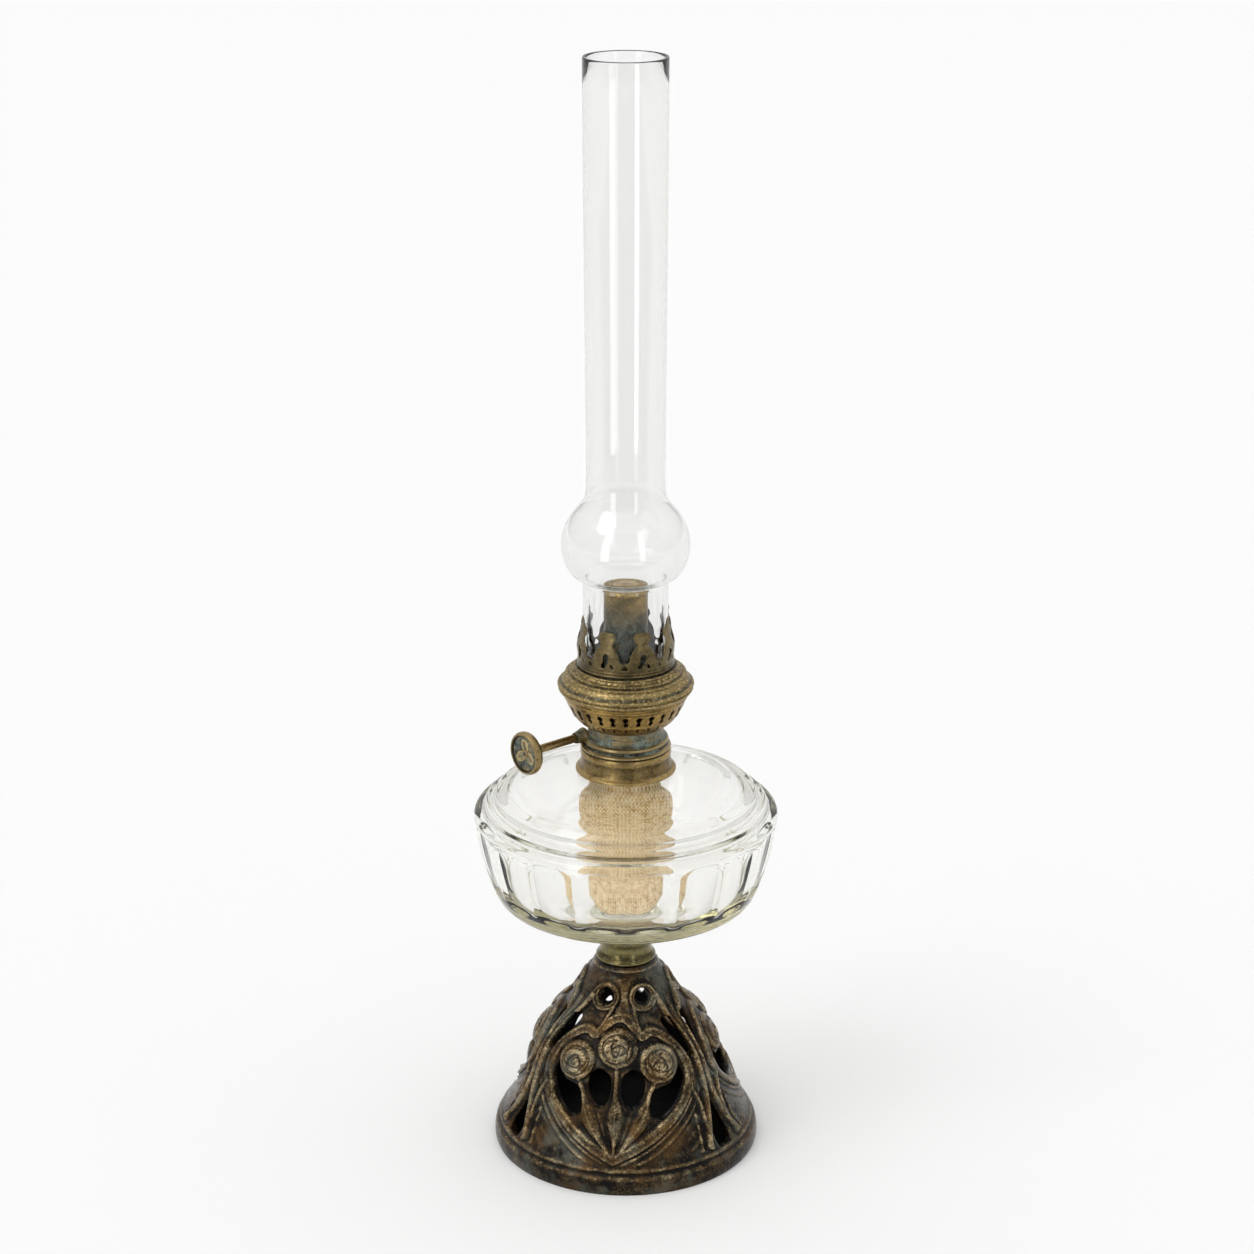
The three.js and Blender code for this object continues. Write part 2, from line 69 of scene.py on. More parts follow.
class Value:
    """A shader node's output that adds, subtracts and multiplies as a number does."""

    def __init__(self, nodes, socket):
        self.nodes, self.socket = nodes, socket

    def __add__(self, other):
        return self.nodes.maths("ADD", self, other)

    def __sub__(self, other):
        return self.nodes.maths("SUBTRACT", self, other)

    def __rsub__(self, other):
        return self.nodes.maths("SUBTRACT", other, self)

    def __mul__(self, other):
        return self.nodes.maths("MULTIPLY", self, other)


class Nodes:
    """The node tree of a material or a world, with short calls for the nodes used here."""

    def __init__(self, owner):
        owner.use_nodes = True
        self.tree = owner.node_tree

    def put(self, value, socket):
        """Links another node's output to a socket, or sets the socket to a number, a vector or a colour."""
        if isinstance(value, Value):
            self.tree.links.new(value.socket, socket)
        else:
            socket.default_value = (*value, 1) if socket.type == "RGBA" else value

    def add(self, kind, inputs=None, output=0, **settings):
        """An output of a new node. inputs maps the node's sockets to what is put in them."""
        made = self.tree.nodes.new(kind)
        for key, setting in settings.items():
            setattr(made, key, setting)
        for key, value in (inputs or {}).items():
            self.put(value, made.inputs[key])
        return Value(self, made.outputs[output])

    def maths(self, operation, a, b=0.0, clamp=False):
        return self.add("ShaderNodeMath", {0: a, 1: b}, operation=operation, use_clamp=clamp)

    def mix(self, share, a, b):
        return self.add("ShaderNodeMix", {0: share, 6: a, 7: b}, 2, data_type="RGBA")

    def place(self):
        return self.add("ShaderNodeTexCoord", output="Object")

    def attribute(self, name):
        return self.add("ShaderNodeAttribute", output="Fac", attribute_name=name)

    def noise(self, scale, detail=4, roughness=0.55, seed=0.0):
        """Noise in the object's own metres; scale is in features per metre."""
        vector = self.place()
        if seed:
            vector = self.add("ShaderNodeMapping", {"Vector": vector, "Location": (seed, seed, seed)})
        inputs = {"Vector": vector, "Scale": scale, "Detail": detail, "Roughness": roughness}
        return self.add("ShaderNodeTexNoise", inputs, "Fac")

    def ramp(self, value, *stops):
        """A value turned into a colour or a grey. Each stop is (position, colour or grey)."""
        made = self.add("ShaderNodeValToRGB", {"Fac": value})
        elements = made.socket.node.color_ramp.elements
        while len(elements) < len(stops):
            elements.new(0.5)
        for element, (position, colour) in zip(elements, stops):
            element.position = position
            element.color = (*colour, 1) if isinstance(colour, tuple) else (colour, colour, colour, 1)
        return made

    def fade(self, value, zero_at, one_at, step="SMOOTHSTEP"):
        """0 at one value and 1 at another, which may be the higher or the lower."""
        inputs = {"Value": value, "From Min": zero_at, "From Max": one_at}
        return self.add("ShaderNodeMapRange", inputs, interpolation_type=step)

    def height_above(self, low, high):
        """0 below one height and 1 above the other, in millimetres."""
        height = self.add("ShaderNodeSeparateXYZ", {"Vector": self.place()}, "Z")
        return self.fade(height, low * MM, high * MM, "LINEAR")


class Look(Nodes):
    """A material with its Principled shader."""

    def __init__(self, name):
        self.material = bpy.data.materials.new(name)
        super().__init__(self.material)
        self.shader = self.tree.nodes["Principled BSDF"]

    def set(self, values):
        for name, value in values.items():
            self.put(value, self.shader.inputs[name])

    def bump(self, height, depth):
        """Bumps of a depth in millimetres."""
        self.set({"Normal": self.add("ShaderNodeBump", {"Height": height, "Distance": depth * MM})})

    def set_output(self, value, socket):
        self.put(value, self.tree.nodes["Material Output"].inputs[socket])


# ---------------------------------------------------------------- camera

CAMERA_ASIDE = 0.6
CAMERA_BACK = 1341.3
CAMERA_HEIGHT = 758.3
CAMERA_TILT = 19.575
CAMERA_LENS = 82.39


def add_camera():
    data = bpy.data.cameras.new("camera")
    data.lens = CAMERA_LENS
    data.sensor_width = 36
    data.clip_end = 100
    camera = bpy.data.objects.new("camera", data)
    camera.location = (CAMERA_ASIDE * MM, -CAMERA_BACK * MM, CAMERA_HEIGHT * MM)
    camera.rotation_euler = (math.radians(90 - CAMERA_TILT), 0, 0)
    bpy.context.scene.collection.objects.link(camera)
    bpy.context.scene.camera = camera


# ---------------------------------------------------------------- light and floor

# The sky's brightness by the sine of its elevation, and a round soft light high on the left.
DOME = ((0.0, 0.6), (0.35, 0.78), (0.7, 0.95))
HIGH_LIGHT = {"azimuth": -58, "elevation": 52, "radius": 15, "edge": 3, "strength": 2.6}

# Cards in metres that only the lamp shows: two tall windows beside the camera, dark ground below it and a
# dark wall behind it, which is seen only in reflections.
WINDOW_DISTANCE = 1.25
WINDOW_HEIGHTS = (0.01, 1.7)
WINDOWS = (
    {"azimuth": -37, "width": 0.34, "strength": 2.8},
    {"azimuth": 30, "width": 0.22, "strength": 2.4},
)
DARK_GROUND = {"near": -0.45, "far": -3.5, "half_width": 2.2, "height": 0.002, "strength": 0.42}
DARK_WALL = {"distance": -2.4, "half_width": 2.3, "heights": (0.3, 3.0), "strength": 0.30}
FLOOR_HALF_WIDTH = 12
FLOOR_WHITE = (0.94, 0.94, 0.94)


def high_light_mask(nodes, toward):
    """1 inside the round soft light of the sky, fading at its edge."""
    azimuth, elevation = math.radians(HIGH_LIGHT["azimuth"]), math.radians(HIGH_LIGHT["elevation"])
    level = math.cos(elevation)
    centre = (level * math.sin(azimuth), -level * math.cos(azimuth), math.sin(elevation))
    dot = nodes.add("ShaderNodeVectorMath", {0: toward, 1: centre}, "Value", operation="DOT_PRODUCT")
    radius, edge = HIGH_LIGHT["radius"], HIGH_LIGHT["edge"]
    return nodes.fade(dot, math.cos(math.radians(radius + edge)), math.cos(math.radians(radius - edge)))


def add_world():
    """A white studio: an even dome that dims towards the horizon, and a soft high light."""
    world = bpy.data.worlds.new("studio")
    nodes = Nodes(world)
    toward = nodes.add("ShaderNodeTexCoord", output="Generated")
    dome = nodes.ramp(nodes.add("ShaderNodeSeparateXYZ", {"Vector": toward}, "Z"), *DOME)
    total = dome + high_light_mask(nodes, toward) * HIGH_LIGHT["strength"]
    nodes.put(total, nodes.tree.nodes["Background"].inputs["Color"])
    bpy.context.scene.world = world


def sheet(name, corners):
    """A four-cornered sheet in metres, and its look."""
    mesh = bpy.data.meshes.new(name)
    mesh.from_pydata(corners, [], [(0, 1, 2, 3)])
    look = Look(name)
    mesh.materials.append(look.material)
    made = bpy.data.objects.new(name, mesh)
    bpy.context.scene.collection.objects.link(made)
    return made, look


def add_card(name, corners, strength):
    card, look = sheet(name, corners)
    look.set_output(look.add("ShaderNodeEmission", {"Strength": strength}), "Surface")
    card.visible_camera = False
    card.visible_diffuse = False
    card.visible_shadow = False
    return card


def add_upright_card(name, ends, heights, strength):
    """A card that stands on the line between two (x, y) ends."""
    low, high = heights
    return add_card(name, [(*ends[0], low), (*ends[1], low), (*ends[1], high), (*ends[0], high)], strength)


def add_cards():
    for number, window in enumerate(WINDOWS):
        azimuth, half = math.radians(window["azimuth"]), window["width"] / 2
        x, y = WINDOW_DISTANCE * math.sin(azimuth), -WINDOW_DISTANCE * math.cos(azimuth)
        ends = [(x + side * math.cos(azimuth), y + side * math.sin(azimuth)) for side in (-half, half)]
        add_upright_card(f"window_card_{number}", ends, WINDOW_HEIGHTS, window["strength"])
    wide, near, far, z = (DARK_GROUND[key] for key in ("half_width", "near", "far", "height"))
    corners = [(-wide, far, z), (wide, far, z), (wide, near, z), (-wide, near, z)]
    add_card("dark_ground_card", corners, DARK_GROUND["strength"])
    wide, back = DARK_WALL["half_width"], DARK_WALL["distance"]
    ends = [(-wide, back), (wide, back)]
    wall = add_upright_card("dark_wall_card", ends, DARK_WALL["heights"], DARK_WALL["strength"])
    wall.visible_transmission = False


def add_floor():
    size = FLOOR_HALF_WIDTH
    floor, look = sheet("floor", [(-size, -size, 0), (size, -size, 0), (size, size, 0), (-size, size, 0)])
    look.set({"Base Color": FLOOR_WHITE, "Roughness": 0.9, "Specular IOR Level": 0.1})


add_camera()
add_world()
add_cards()
add_floor()
bpy.context.scene.view_settings.view_transform = "Standard"

# ---------------------------------------------------------------- materials

# Vertices carry "proud": 1 on what stands out and is worn bright, -1 in grooves, which are coloured darker.
BRONZE_BLACK = (0.007, 0.006, 0.005)
BRONZE_BROWN = (0.088, 0.060, 0.028)
BRONZE_GOLD = (0.56, 0.44, 0.255)
RUST = (0.17, 0.085, 0.022)
GREY_GREEN = (0.16, 0.175, 0.145)


def cast_bronze():
    """Bronzed casting: black in the hollows, worn gold on ridges, rusty and grey-green in patches."""
    look = Look("cast_bronze")
    proud = look.attribute("proud")
    mottle = look.noise(150, 7, 0.7) + look.noise(900, 3, 0.7, seed=5) * 0.8 - 0.9
    lifted = proud * 0.34 + mottle * 1.7 + 0.24
    base = look.ramp(lifted, (0.1, BRONZE_BLACK), (0.42, BRONZE_BROWN), (0.95, BRONZE_GOLD))
    rusty = look.ramp(look.noise(55, 6, 0.68, seed=3.1), (0.48, 0.0), (0.62, 0.8))
    with_rust = look.mix(rusty, base, look.mix(0.5, base, RUST))
    greenish = look.ramp(look.noise(50, 6, 0.72, seed=8.4), (0.5, 0.0), (0.62, 0.8))
    colour = look.mix(greenish, with_rust, look.mix(0.5, with_rust, GREY_GREEN))
    groove_dark = look.maths("MULTIPLY", proud, -0.8, clamp=True)
    rough = look.ramp(look.noise(240, 5, 0.6, seed=1.7), (0.3, 0.12), (0.7, 0.34))
    look.set({"Base Color": look.mix(groove_dark, colour, BRONZE_BLACK), "Metallic": 0.85, "Roughness": rough})
    look.bump(look.noise(1500, 4, 0.65) + look.noise(420, 4, 0.6) * 1.4, 0.2)
    return look.material


# A near-black, rough material that paints shade inside the foot.
def painted_shade_black():
    look = Look("painted_shade_black")
    tone = look.ramp(look.noise(120, 5, 0.6), (0.3, 0.008), (0.7, 0.022))
    look.set({"Base Color": tone, "Roughness": 0.85, "Specular IOR Level": 0.2})
    return look.material


GRIME = (0.020, 0.015, 0.009)
CRUST_TONES = ((0.020, 0.028, 0.024), (0.26, 0.32, 0.27))
DARK_CRUST_TONES = ((0.012, 0.014, 0.011), (0.15, 0.175, 0.135))
PALE_CRUST_TONES = ((0.05, 0.055, 0.04), (0.40, 0.42, 0.33))


def crust_cover(look, proud, crust, crust_heights, specks, groove_crust):
    """The share of verdigris on each spot: fine specks, patches between heights and lines in grooves."""
    speck_from = 0.71 - 0.25 * specks
    cover = look.ramp(look.noise(760, 3, 0.7, seed=12.6), (speck_from, 0.0), (speck_from + 0.03, 1.0))
    if crust:
        patch_noise = look.noise(130, 7, 0.75, seed=6.6)
        patch = look.ramp(patch_noise, (0.62 - 0.3 * crust, 0.0), (0.70 - 0.3 * crust, 1.0))
        if crust_heights:
            low, full_low, full_high, high = crust_heights
            rising, falling = look.height_above(low, full_low), look.height_above(high, full_high)
            patch = patch * look.maths("MINIMUM", rising, falling)
        cover = look.maths("MAXIMUM", cover, patch) * (1.0 - look.maths("MAXIMUM", proud, 0.0))
    if groove_crust:
        broken = look.ramp(look.noise(300, 4, 0.7, seed=7.7), (0.40, 0.0), (0.52, groove_crust))
        cover = look.maths("MAXIMUM", cover, look.fade(proud, -0.15, -0.5) * broken)
    return cover


def aged_metal(
    name, bright, dull, crust=0.0, crust_heights=None, specks=0.1, rough=(0.22, 0.42), bumps=0.08,
    flecks=False, crust_tones=CRUST_TONES, groove_crust=0.0,
):
    """Aged brass: bright and dull patches, dirt, darker grooves, worn ridges, and verdigris if asked for.

    crust and specks are the shares covered by verdigris, as patches and as fine specks.
    """
    look = Look(name)
    proud = look.attribute("proud")
    patches = look.noise(85, 6, 0.66) + look.noise(620, 4, 0.7) * 0.5
    base = look.ramp(patches + proud * 0.3, (0.52, dull), (0.98, bright))
    if flecks:
        cells = look.add("ShaderNodeTexVoronoi", {"Vector": look.place(), "Scale": 620.0}, "Distance")
        fleck = look.ramp(cells, (0.2, 0.85), (0.45, 0.0))
        base = look.mix(fleck, look.mix(0.6, base, dull), bright)
    dirt = look.ramp(look.noise(480, 5, 0.75, seed=4.2), (0.56, 0.0), (0.68, 0.85))
    grooves = look.maths("MULTIPLY", proud, -0.9, clamp=True)
    base = look.mix(grooves, look.mix(dirt, base, GRIME), GRIME)
    cover = crust_cover(look, proud, crust, crust_heights, specks, groove_crust)
    lumps = look.noise(420, 5, 0.75, seed=2.5)
    green = look.ramp(lumps, (0.40, crust_tones[0]), (0.62, crust_tones[1]))
    gloss = look.ramp(look.noise(260, 5, 0.6, seed=9.0), (0.3, rough[0]), (0.7, rough[1]))
    look.set({
        "Base Color": look.mix(cover, base, green),
        "Metallic": 1.0 - cover * 0.8,
        "Roughness": gloss + cover * 0.25,
    })
    look.bump(look.noise(520, 4, 0.6) + lumps * (cover * 1.5), bumps)
    return look.material


TRAPPED_AFTER = 5.5  # rays that have met more surfaces than this pass straight on
GLASS_SHADOW = (0.95, 0.955, 0.945)


def clear_glass(name, tint, density, waves, wave_scale=35):
    """Clear glass, tinted where it is thick. Shadow rays and trapped rays pass straight through it."""
    look = Look(name)
    look.set({"Base Color": (1, 1, 1), "Roughness": 0.0, "IOR": 1.5, "Transmission Weight": 1.0})
    look.bump(look.noise(wave_scale, 2, 0.4), waves)
    depth = look.add("ShaderNodeLightPath", output="Ray Depth")
    shadow = look.add("ShaderNodeLightPath", output="Is Shadow Ray")
    straight = look.maths("MAXIMUM", shadow, look.maths("GREATER_THAN", depth, TRAPPED_AFTER))
    through = look.add("ShaderNodeBsdfTransparent", {"Color": GLASS_SHADOW})
    glass = Value(look, look.shader.outputs[0])
    look.set_output(look.add("ShaderNodeMixShader", {0: straight, 1: glass, 2: through}), "Surface")
    look.set_output(look.add("ShaderNodeVolumeAbsorption", {"Color": tint, "Density": density}), "Volume")
    return look.material


STITCH_WIDTH = 1.9
STITCH_HEIGHT = 1.55
CHAR_FROM = 299.5
CHAR = (0.25, 0.16, 0.07)
COTTON_TONES = ((0.0, (0.42, 0.21, 0.06)), (0.32, (0.86, 0.60, 0.27)), (0.78, (0.97, 0.87, 0.62)))


def knitted_cotton():
    """Cream wick cotton: columns of V-shaped stitches, darker between them, tan at the burnt end.

    Vertices carry "across" and "along", their place on the knitted strip in millimetres.
    """
    look = Look("knitted_cotton")
    across, along = look.attribute("across"), look.attribute("along")
    column = look.maths("FRACT", look.maths("DIVIDE", across, STITCH_WIDTH))
    aside = look.maths("ABSOLUTE", column * 2.0 - 1.0)
    row = look.maths("DIVIDE", along, STITCH_HEIGHT) + aside * 0.8
    ply = look.maths("COSINE", row * TAU) * 0.3 + 0.5
    loops = ply * (1.0 - look.maths("POWER", aside, 4.0) * 0.7)
    uneven = (look.noise(300, 6, 0.75) - 0.5) * 2.2
    colour = look.ramp(loops + uneven, *COTTON_TONES)
    burnt = look.height_above(CHAR_FROM - 3, CHAR_FROM) * 0.5
    look.set({"Base Color": look.mix(burnt, colour, CHAR), "Roughness": 0.92, "Sheen Weight": 0.3})
    look.bump(loops + look.noise(2400, 4, 0.7) * 0.6, 0.4)
    return look.material


def dull_steel():
    look = Look("dull_steel")
    tone = look.ramp(look.noise(180, 6, 0.65), (0.35, (0.04, 0.03, 0.025)), (0.62, (0.2, 0.185, 0.17)))
    rough = look.ramp(look.noise(300, 4, 0.6), (0.3, 0.35), (0.7, 0.65))
    look.set({"Base Color": tone, "Metallic": 0.9, "Roughness": rough})
    look.bump(look.noise(700, 4, 0.6), 0.08)
    return look.material


def set_plaster():
    look = Look("set_plaster")
    tone = look.ramp(look.noise(260, 5, 0.6), (0.3, (0.55, 0.5, 0.42)), (0.7, (0.8, 0.77, 0.7)))
    look.set({"Base Color": tone, "Roughness": 0.95})
    look.bump(look.noise(900, 4, 0.6), 0.15)
    return look.material


BRONZE = cast_bronze()
PAINTED_SHADE_BLACK = painted_shade_black()
COLLAR_BRASS = aged_metal(
    "collar_brass", (0.36, 0.25, 0.10), (0.075, 0.052, 0.022), specks=0.35, bumps=0.05,
)
BASKET_BRASS = aged_metal("basket_brass", (0.46, 0.30, 0.09), (0.11, 0.07, 0.024), specks=0.25)
BRIM_BRASS = aged_metal(
    "brim_brass", (0.58, 0.43, 0.19), (0.075, 0.056, 0.022), specks=0.3, rough=(0.32, 0.52), bumps=0.14,
    flecks=True, crust_tones=PALE_CRUST_TONES, groove_crust=0.25,
)
CROWN_BRASS = aged_metal("crown_brass", (0.22, 0.17, 0.08), (0.055, 0.042, 0.02), specks=0.2)
OLIVE_BRASS = aged_metal(
    "olive_brass", (0.19, 0.158, 0.068), (0.055, 0.046, 0.02), specks=0.35, rough=(0.14, 0.28), bumps=0.04,
)
KNOB_BRASS = aged_metal("knob_brass", (0.32, 0.235, 0.11), (0.075, 0.058, 0.03), crust=0.12, specks=0.2)
FACE_BRASS = aged_metal(
    "face_brass", (0.55, 0.42, 0.20), (0.16, 0.13, 0.07), crust=0.7, specks=0.3,
    crust_tones=DARK_CRUST_TONES,
)
GREEN_BRASS = aged_metal(
    "green_brass", (0.34, 0.26, 0.13), (0.06, 0.048, 0.026), crust=0.55, specks=0.5, groove_crust=0.5,
)
TUBE_BRASS = aged_metal(
    "tube_brass", (0.36, 0.25, 0.095), (0.055, 0.045, 0.02), crust=0.9, crust_heights=(250, 256, 282, 296),
    specks=0.45, rough=(0.16, 0.34), crust_tones=DARK_CRUST_TONES,
)
STEEL = dull_steel()
PLASTER = set_plaster()
COTTON = knitted_cotton()
FONT_GLASS = clear_glass("font_glass", (0.84, 0.822, 0.715), 36.0, 0.03, 60)
CHIMNEY_GLASS = clear_glass("chimney_glass", (0.882, 0.886, 0.866), 250.0, 0.02)

# ---------------------------------------------------------------- mesh helpers


def add_piece(name, vertices, faces, material, body, replaced=(), attributes=None, lining=None):
    """A smooth-shaded piece from vertices in millimetres, riding on a body and standing for CAD nodes.

    body may be None for a piece that is attached to no body. lining is
    (material, first face, last face) for faces with a material of their own.
    """
    mesh = bpy.data.meshes.new(name)
    vertices = np.asarray(vertices, dtype=float)
    mesh.from_pydata((vertices * MM).tolist(), [], faces)
    mesh.polygons.foreach_set("use_smooth", [True] * len(mesh.polygons))
    for key, values in (attributes or {}).items():
        layer = mesh.attributes.new(key, "FLOAT", "POINT")
        layer.data.foreach_set("value", np.asarray(values, dtype=float))
    mesh.materials.append(material)
    if lining:
        second, first, last = lining
        mesh.materials.append(second)
        index = np.zeros(len(faces), dtype=int)
        index[first:last] = 1
        mesh.polygons.foreach_set("material_index", index)
    mesh.validate()
    mesh.update()
    piece = bpy.data.objects.new(name, mesh)
    bpy.context.scene.collection.objects.link(piece)
    if body:
        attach(piece, body)
    if replaced:
        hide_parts(*replaced)
    return piece


def rounded(outline, radius=0.4, steps=3):
    """The closed outline with each corner rounded off by a short curve."""
    points = np.asarray(outline, dtype=float)
    result = []
    for i, here in enumerate(points):
        before, after = points[i - 1] - here, points[(i + 1) % len(points)] - here
        a, b = np.linalg.norm(before), np.linalg.norm(after)
        start = here + before / a * min(radius, 0.45 * a)
        end = here + after / b * min(radius, 0.45 * b)
        for k in range(steps + 1):
            t = k / steps
            result.append((1 - t) ** 2 * start + 2 * t * (1 - t) * here + t**2 * end)
    return np.array(result)


def smooth_curve(points, per_span=8, closed=False):
    """A Catmull-Rom curve through the points."""
    points = np.asarray(points, dtype=float)
    if closed:
        padded = np.vstack([points[-1], points, points[:2]])
    else:
        padded = np.vstack([2 * points[0] - points[1], points, 2 * points[-1] - points[-2]])
    t = np.linspace(0, 1, per_span, endpoint=False)[:, None]
    result = []
    for p0, p1, p2, p3 in zip(padded, padded[1:], padded[2:], padded[3:]):
        square, cube = 2 * p0 - 5 * p1 + 4 * p2 - p3, 3 * p1 - p0 - 3 * p2 + p3
        result.append(0.5 * (2 * p1 + (p2 - p0) * t + square * t**2 + cube * t**3))
    if not closed:
        result.append(points[-1][None])
    return np.vstack(result)


def ring_faces(rows, columns, closed_rows):
    """Quads of a grid that closes round its columns, and round its rows too if asked."""
    faces = []
    for i in range(rows if closed_rows else rows - 1):
        for j in range(columns):
            k = (j + 1) % columns
            n = (i + 1) % rows
            faces.append((i * columns + j, i * columns + k, n * columns + k, n * columns + j))
    return faces


def polar(radius, angle, height):
    """Points at a radius and height, at an angle in radians from the lamp's front."""
    x, y = radius * np.sin(angle), -radius * np.cos(angle)
    return np.stack([x, y, np.broadcast_to(height, x.shape)], axis=-1)


def turn(outline, segments=128):
    """Vertices and faces of a closed outline turned about Z."""
    outline = np.asarray(outline, dtype=float)
    angle = np.arange(segments) / segments * TAU
    vertices = polar(outline[:, :1], angle, outline[:, 1:]).reshape(-1, 3)
    return vertices, ring_faces(len(outline), segments, True)


def proud_of(outline, reach=1.6, full=0.55):
    """1 where an outline point stands out from its neighbours' radius, -1 where it sits in a groove."""
    radius, height = outline[:, 0], outline[:, 1]
    near = np.abs(radius[:, None] - radius[None, :]) < 3
    weight = near * np.exp(-(((height[:, None] - height[None, :]) / reach) ** 2))
    mean = (weight * radius[None, :]).sum(axis=1) / weight.sum(axis=1)
    return np.clip((radius - mean) / full, -1, 1)


def turned_piece(name, outline, material, body, replaced, radius=0.4, segments=128):
    corners = rounded(outline, radius)
    vertices, faces = turn(corners, segments)
    proud = np.repeat(proud_of(corners), segments)
    return add_piece(name, vertices, faces, material, body, replaced, {"proud": proud})


def smoothstep(low, high, value):
    t = np.clip((np.asarray(value, dtype=float) - low) / (high - low), 0, 1)
    return t * t * (3 - 2 * t)


def bell(distance, width):
    """1 on a line, falling smoothly to 0 at the given distance from it."""
    return 1 - smoothstep(0, width, np.abs(distance))


# ---------------------------------------------------------------- pierced walls


def on_wall(azimuth, height, radius):
    """The point of a wall of revolution at an azimuth in degrees and a height."""
    return polar(radius(height), np.radians(azimuth), height)


def nearest_on_path(points, path, closed=False):
    """Each point's distance from a path, and its nearest spot there, counted in the path's spans."""
    starts = path if closed else path[:-1]
    ends = np.roll(path, -1, axis=0) if closed else path[1:]
    best = np.full(len(points), np.inf)
    spot = np.zeros(len(points))
    for i, (a, b) in enumerate(zip(starts, ends)):
        span = b - a
        length = max(float(span @ span), 1e-9)
        t = np.clip((points - a) @ span / length, 0, 1)
        distance = np.linalg.norm(points - a - t[:, None] * span, axis=1)
        closer = distance < best
        best[closer] = distance[closer]
        spot[closer] = i + t[closer]
    return best, spot


def inside_outline(azimuth, height, outline):
    """True for the (azimuth, height) pairs inside a closed outline of such pairs."""
    inside = np.zeros(len(azimuth), dtype=bool)
    for (a0, h0), (a1, h1) in zip(outline, np.roll(outline, -1, axis=0)):
        if h0 == h1:
            continue
        crosses = (height > min(h0, h1)) & (height <= max(h0, h1))
        inside ^= crosses & (azimuth < a0 + (height - h0) * (a1 - a0) / (h1 - h0))
    return inside


INSIDE_SHADE_PROUD = -0.6  # painted shade: the inside of a pierced wall is coloured darker all over


class PiercedWall:
    """One repeat of a wall of revolution, as a grid of azimuths and heights, with openings and relief."""

    def __init__(self, sector, columns, heights, radius):
        self.sector, self.columns, self.radius = sector, columns, radius
        self.rows = len(heights)
        across = -sector / 2 + sector / columns * np.arange(columns)
        self.azimuth = np.tile(across, self.rows)
        self.height = np.repeat(np.asarray(heights, dtype=float), columns)
        self.opening = np.full(len(self.azimuth), 99.0)
        self.inside = np.zeros(len(self.azimuth), dtype=bool)
        self.pulled = np.stack([self.azimuth, self.height], axis=-1)

    def base_points(self):
        return on_wall(self.azimuth, self.height, self.radius)

    def pierce(self, outline, per_span=8):
        """Cuts an opening. Points of the grid just inside it move onto its edge."""
        edge = smooth_curve(outline, per_span, closed=True)
        for turn_by in (-self.sector, 0, self.sector):
            moved = edge + [turn_by, 0]
            (left, low), (right, high) = moved.min(axis=0), moved.max(axis=0)
            if right < -self.sector / 2 - 9 or left > self.sector / 2 + 9:
                continue
            path = on_wall(moved[:, 0], moved[:, 1], self.radius)
            near = (self.azimuth > left - 12) & (self.azimuth < right + 12)
            near &= (self.height > low - 5) & (self.height < high + 5)
            index = np.nonzero(near)[0]
            distance, spot = nearest_on_path(self.base_points()[index], path, closed=True)
            within = inside_outline(self.azimuth[index], self.height[index], moved)
            closer = (distance < self.opening[index]) & ~within
            self.opening[index[closer]] = distance[closer]
            hit = index[within]
            start = spot[within].astype(int) % len(moved)
            share = spot[within] - spot[within].astype(int)
            ends = moved[(start + 1) % len(moved)]
            self.inside[hit] = True
            self.pulled[hit] = moved[start] + share[:, None] * (ends - moved[start])
            self.opening[hit] = 0.0

    def standing_out(self, relief, spread, full):
        """1 where the relief stands over its surroundings, -1 where it sits below them."""
        grid = relief.reshape(self.rows, self.columns)
        mean = grid.copy()
        for _ in range(spread):
            mean = (mean + np.roll(mean, 1, axis=1) + np.roll(mean, -1, axis=1)) / 3
            padded = np.vstack([mean[:1], mean, mean[-1:]])
            mean = (padded[:-2] + padded[1:-1] + padded[2:]) / 3
        return np.clip((grid - mean) / full, -1, 1).ravel()

    def build(self, repeats, relief, thickness, proud, inner=None, turned_by=0.0, lip=1.0):
        """The whole wall's vertices and faces, each vertex's proud share, and the outside's face count.

        relief is the outside's height over the base radius. inner is the inside's radius by height, or it
        follows the outside at the thickness.
        """
        azimuth, height = self.pulled.T
        rounding = lip * (1 - np.clip(self.opening / (1.6 * lip), 0, 1)) ** 2 * 0.8
        base = self.radius(height)
        outside = base + relief - rounding
        within = (inner(height) if inner else base - thickness) + rounding * 0.5
        within = np.minimum(within, outside - 0.25 * thickness)
        count = self.rows * self.columns
        order = np.arange(count).reshape(self.rows, self.columns)
        grid = np.hstack([order + count * k for k in range(repeats)])
        turned = np.concatenate([azimuth + self.sector * k for k in range(repeats)])
        angles = np.radians(turned + turned_by)
        heights = np.tile(height, repeats)
        shells = [np.tile(shell, repeats) for shell in (outside, within)]
        vertices = np.vstack([polar(shell, angles, heights) for shell in shells])
        hidden = np.tile(self.inside, repeats)
        a, b = grid[:-1], grid[1:]
        quads = np.stack([a, np.roll(a, -1, axis=1), np.roll(b, -1, axis=1), b], axis=-1).reshape(-1, 4)
        quads = quads[~hidden[quads].all(axis=1)]
        total = count * repeats
        open_edges = set()
        for quad in quads.tolist():
            for edge in zip(quad, quad[1:] + quad[:1]):
                if edge[::-1] in open_edges:
                    open_edges.remove(edge[::-1])
                else:
                    open_edges.add(edge)
        rims = [[end, start, start + total, end + total] for start, end in sorted(open_edges)]
        faces = np.vstack([quads, quads[:, ::-1] + total, np.array(rims)])
        # The inside's vertices take a darker value, as painted shade.
        shade = np.concatenate([np.tile(proud, repeats), np.full(total, INSIDE_SHADE_PROUD)])
        used = np.zeros(len(vertices), dtype=bool)
        used[np.unique(faces)] = True
        renumber = np.cumsum(used) - 1
        return vertices[used], renumber[faces].tolist(), shade[used], len(quads)


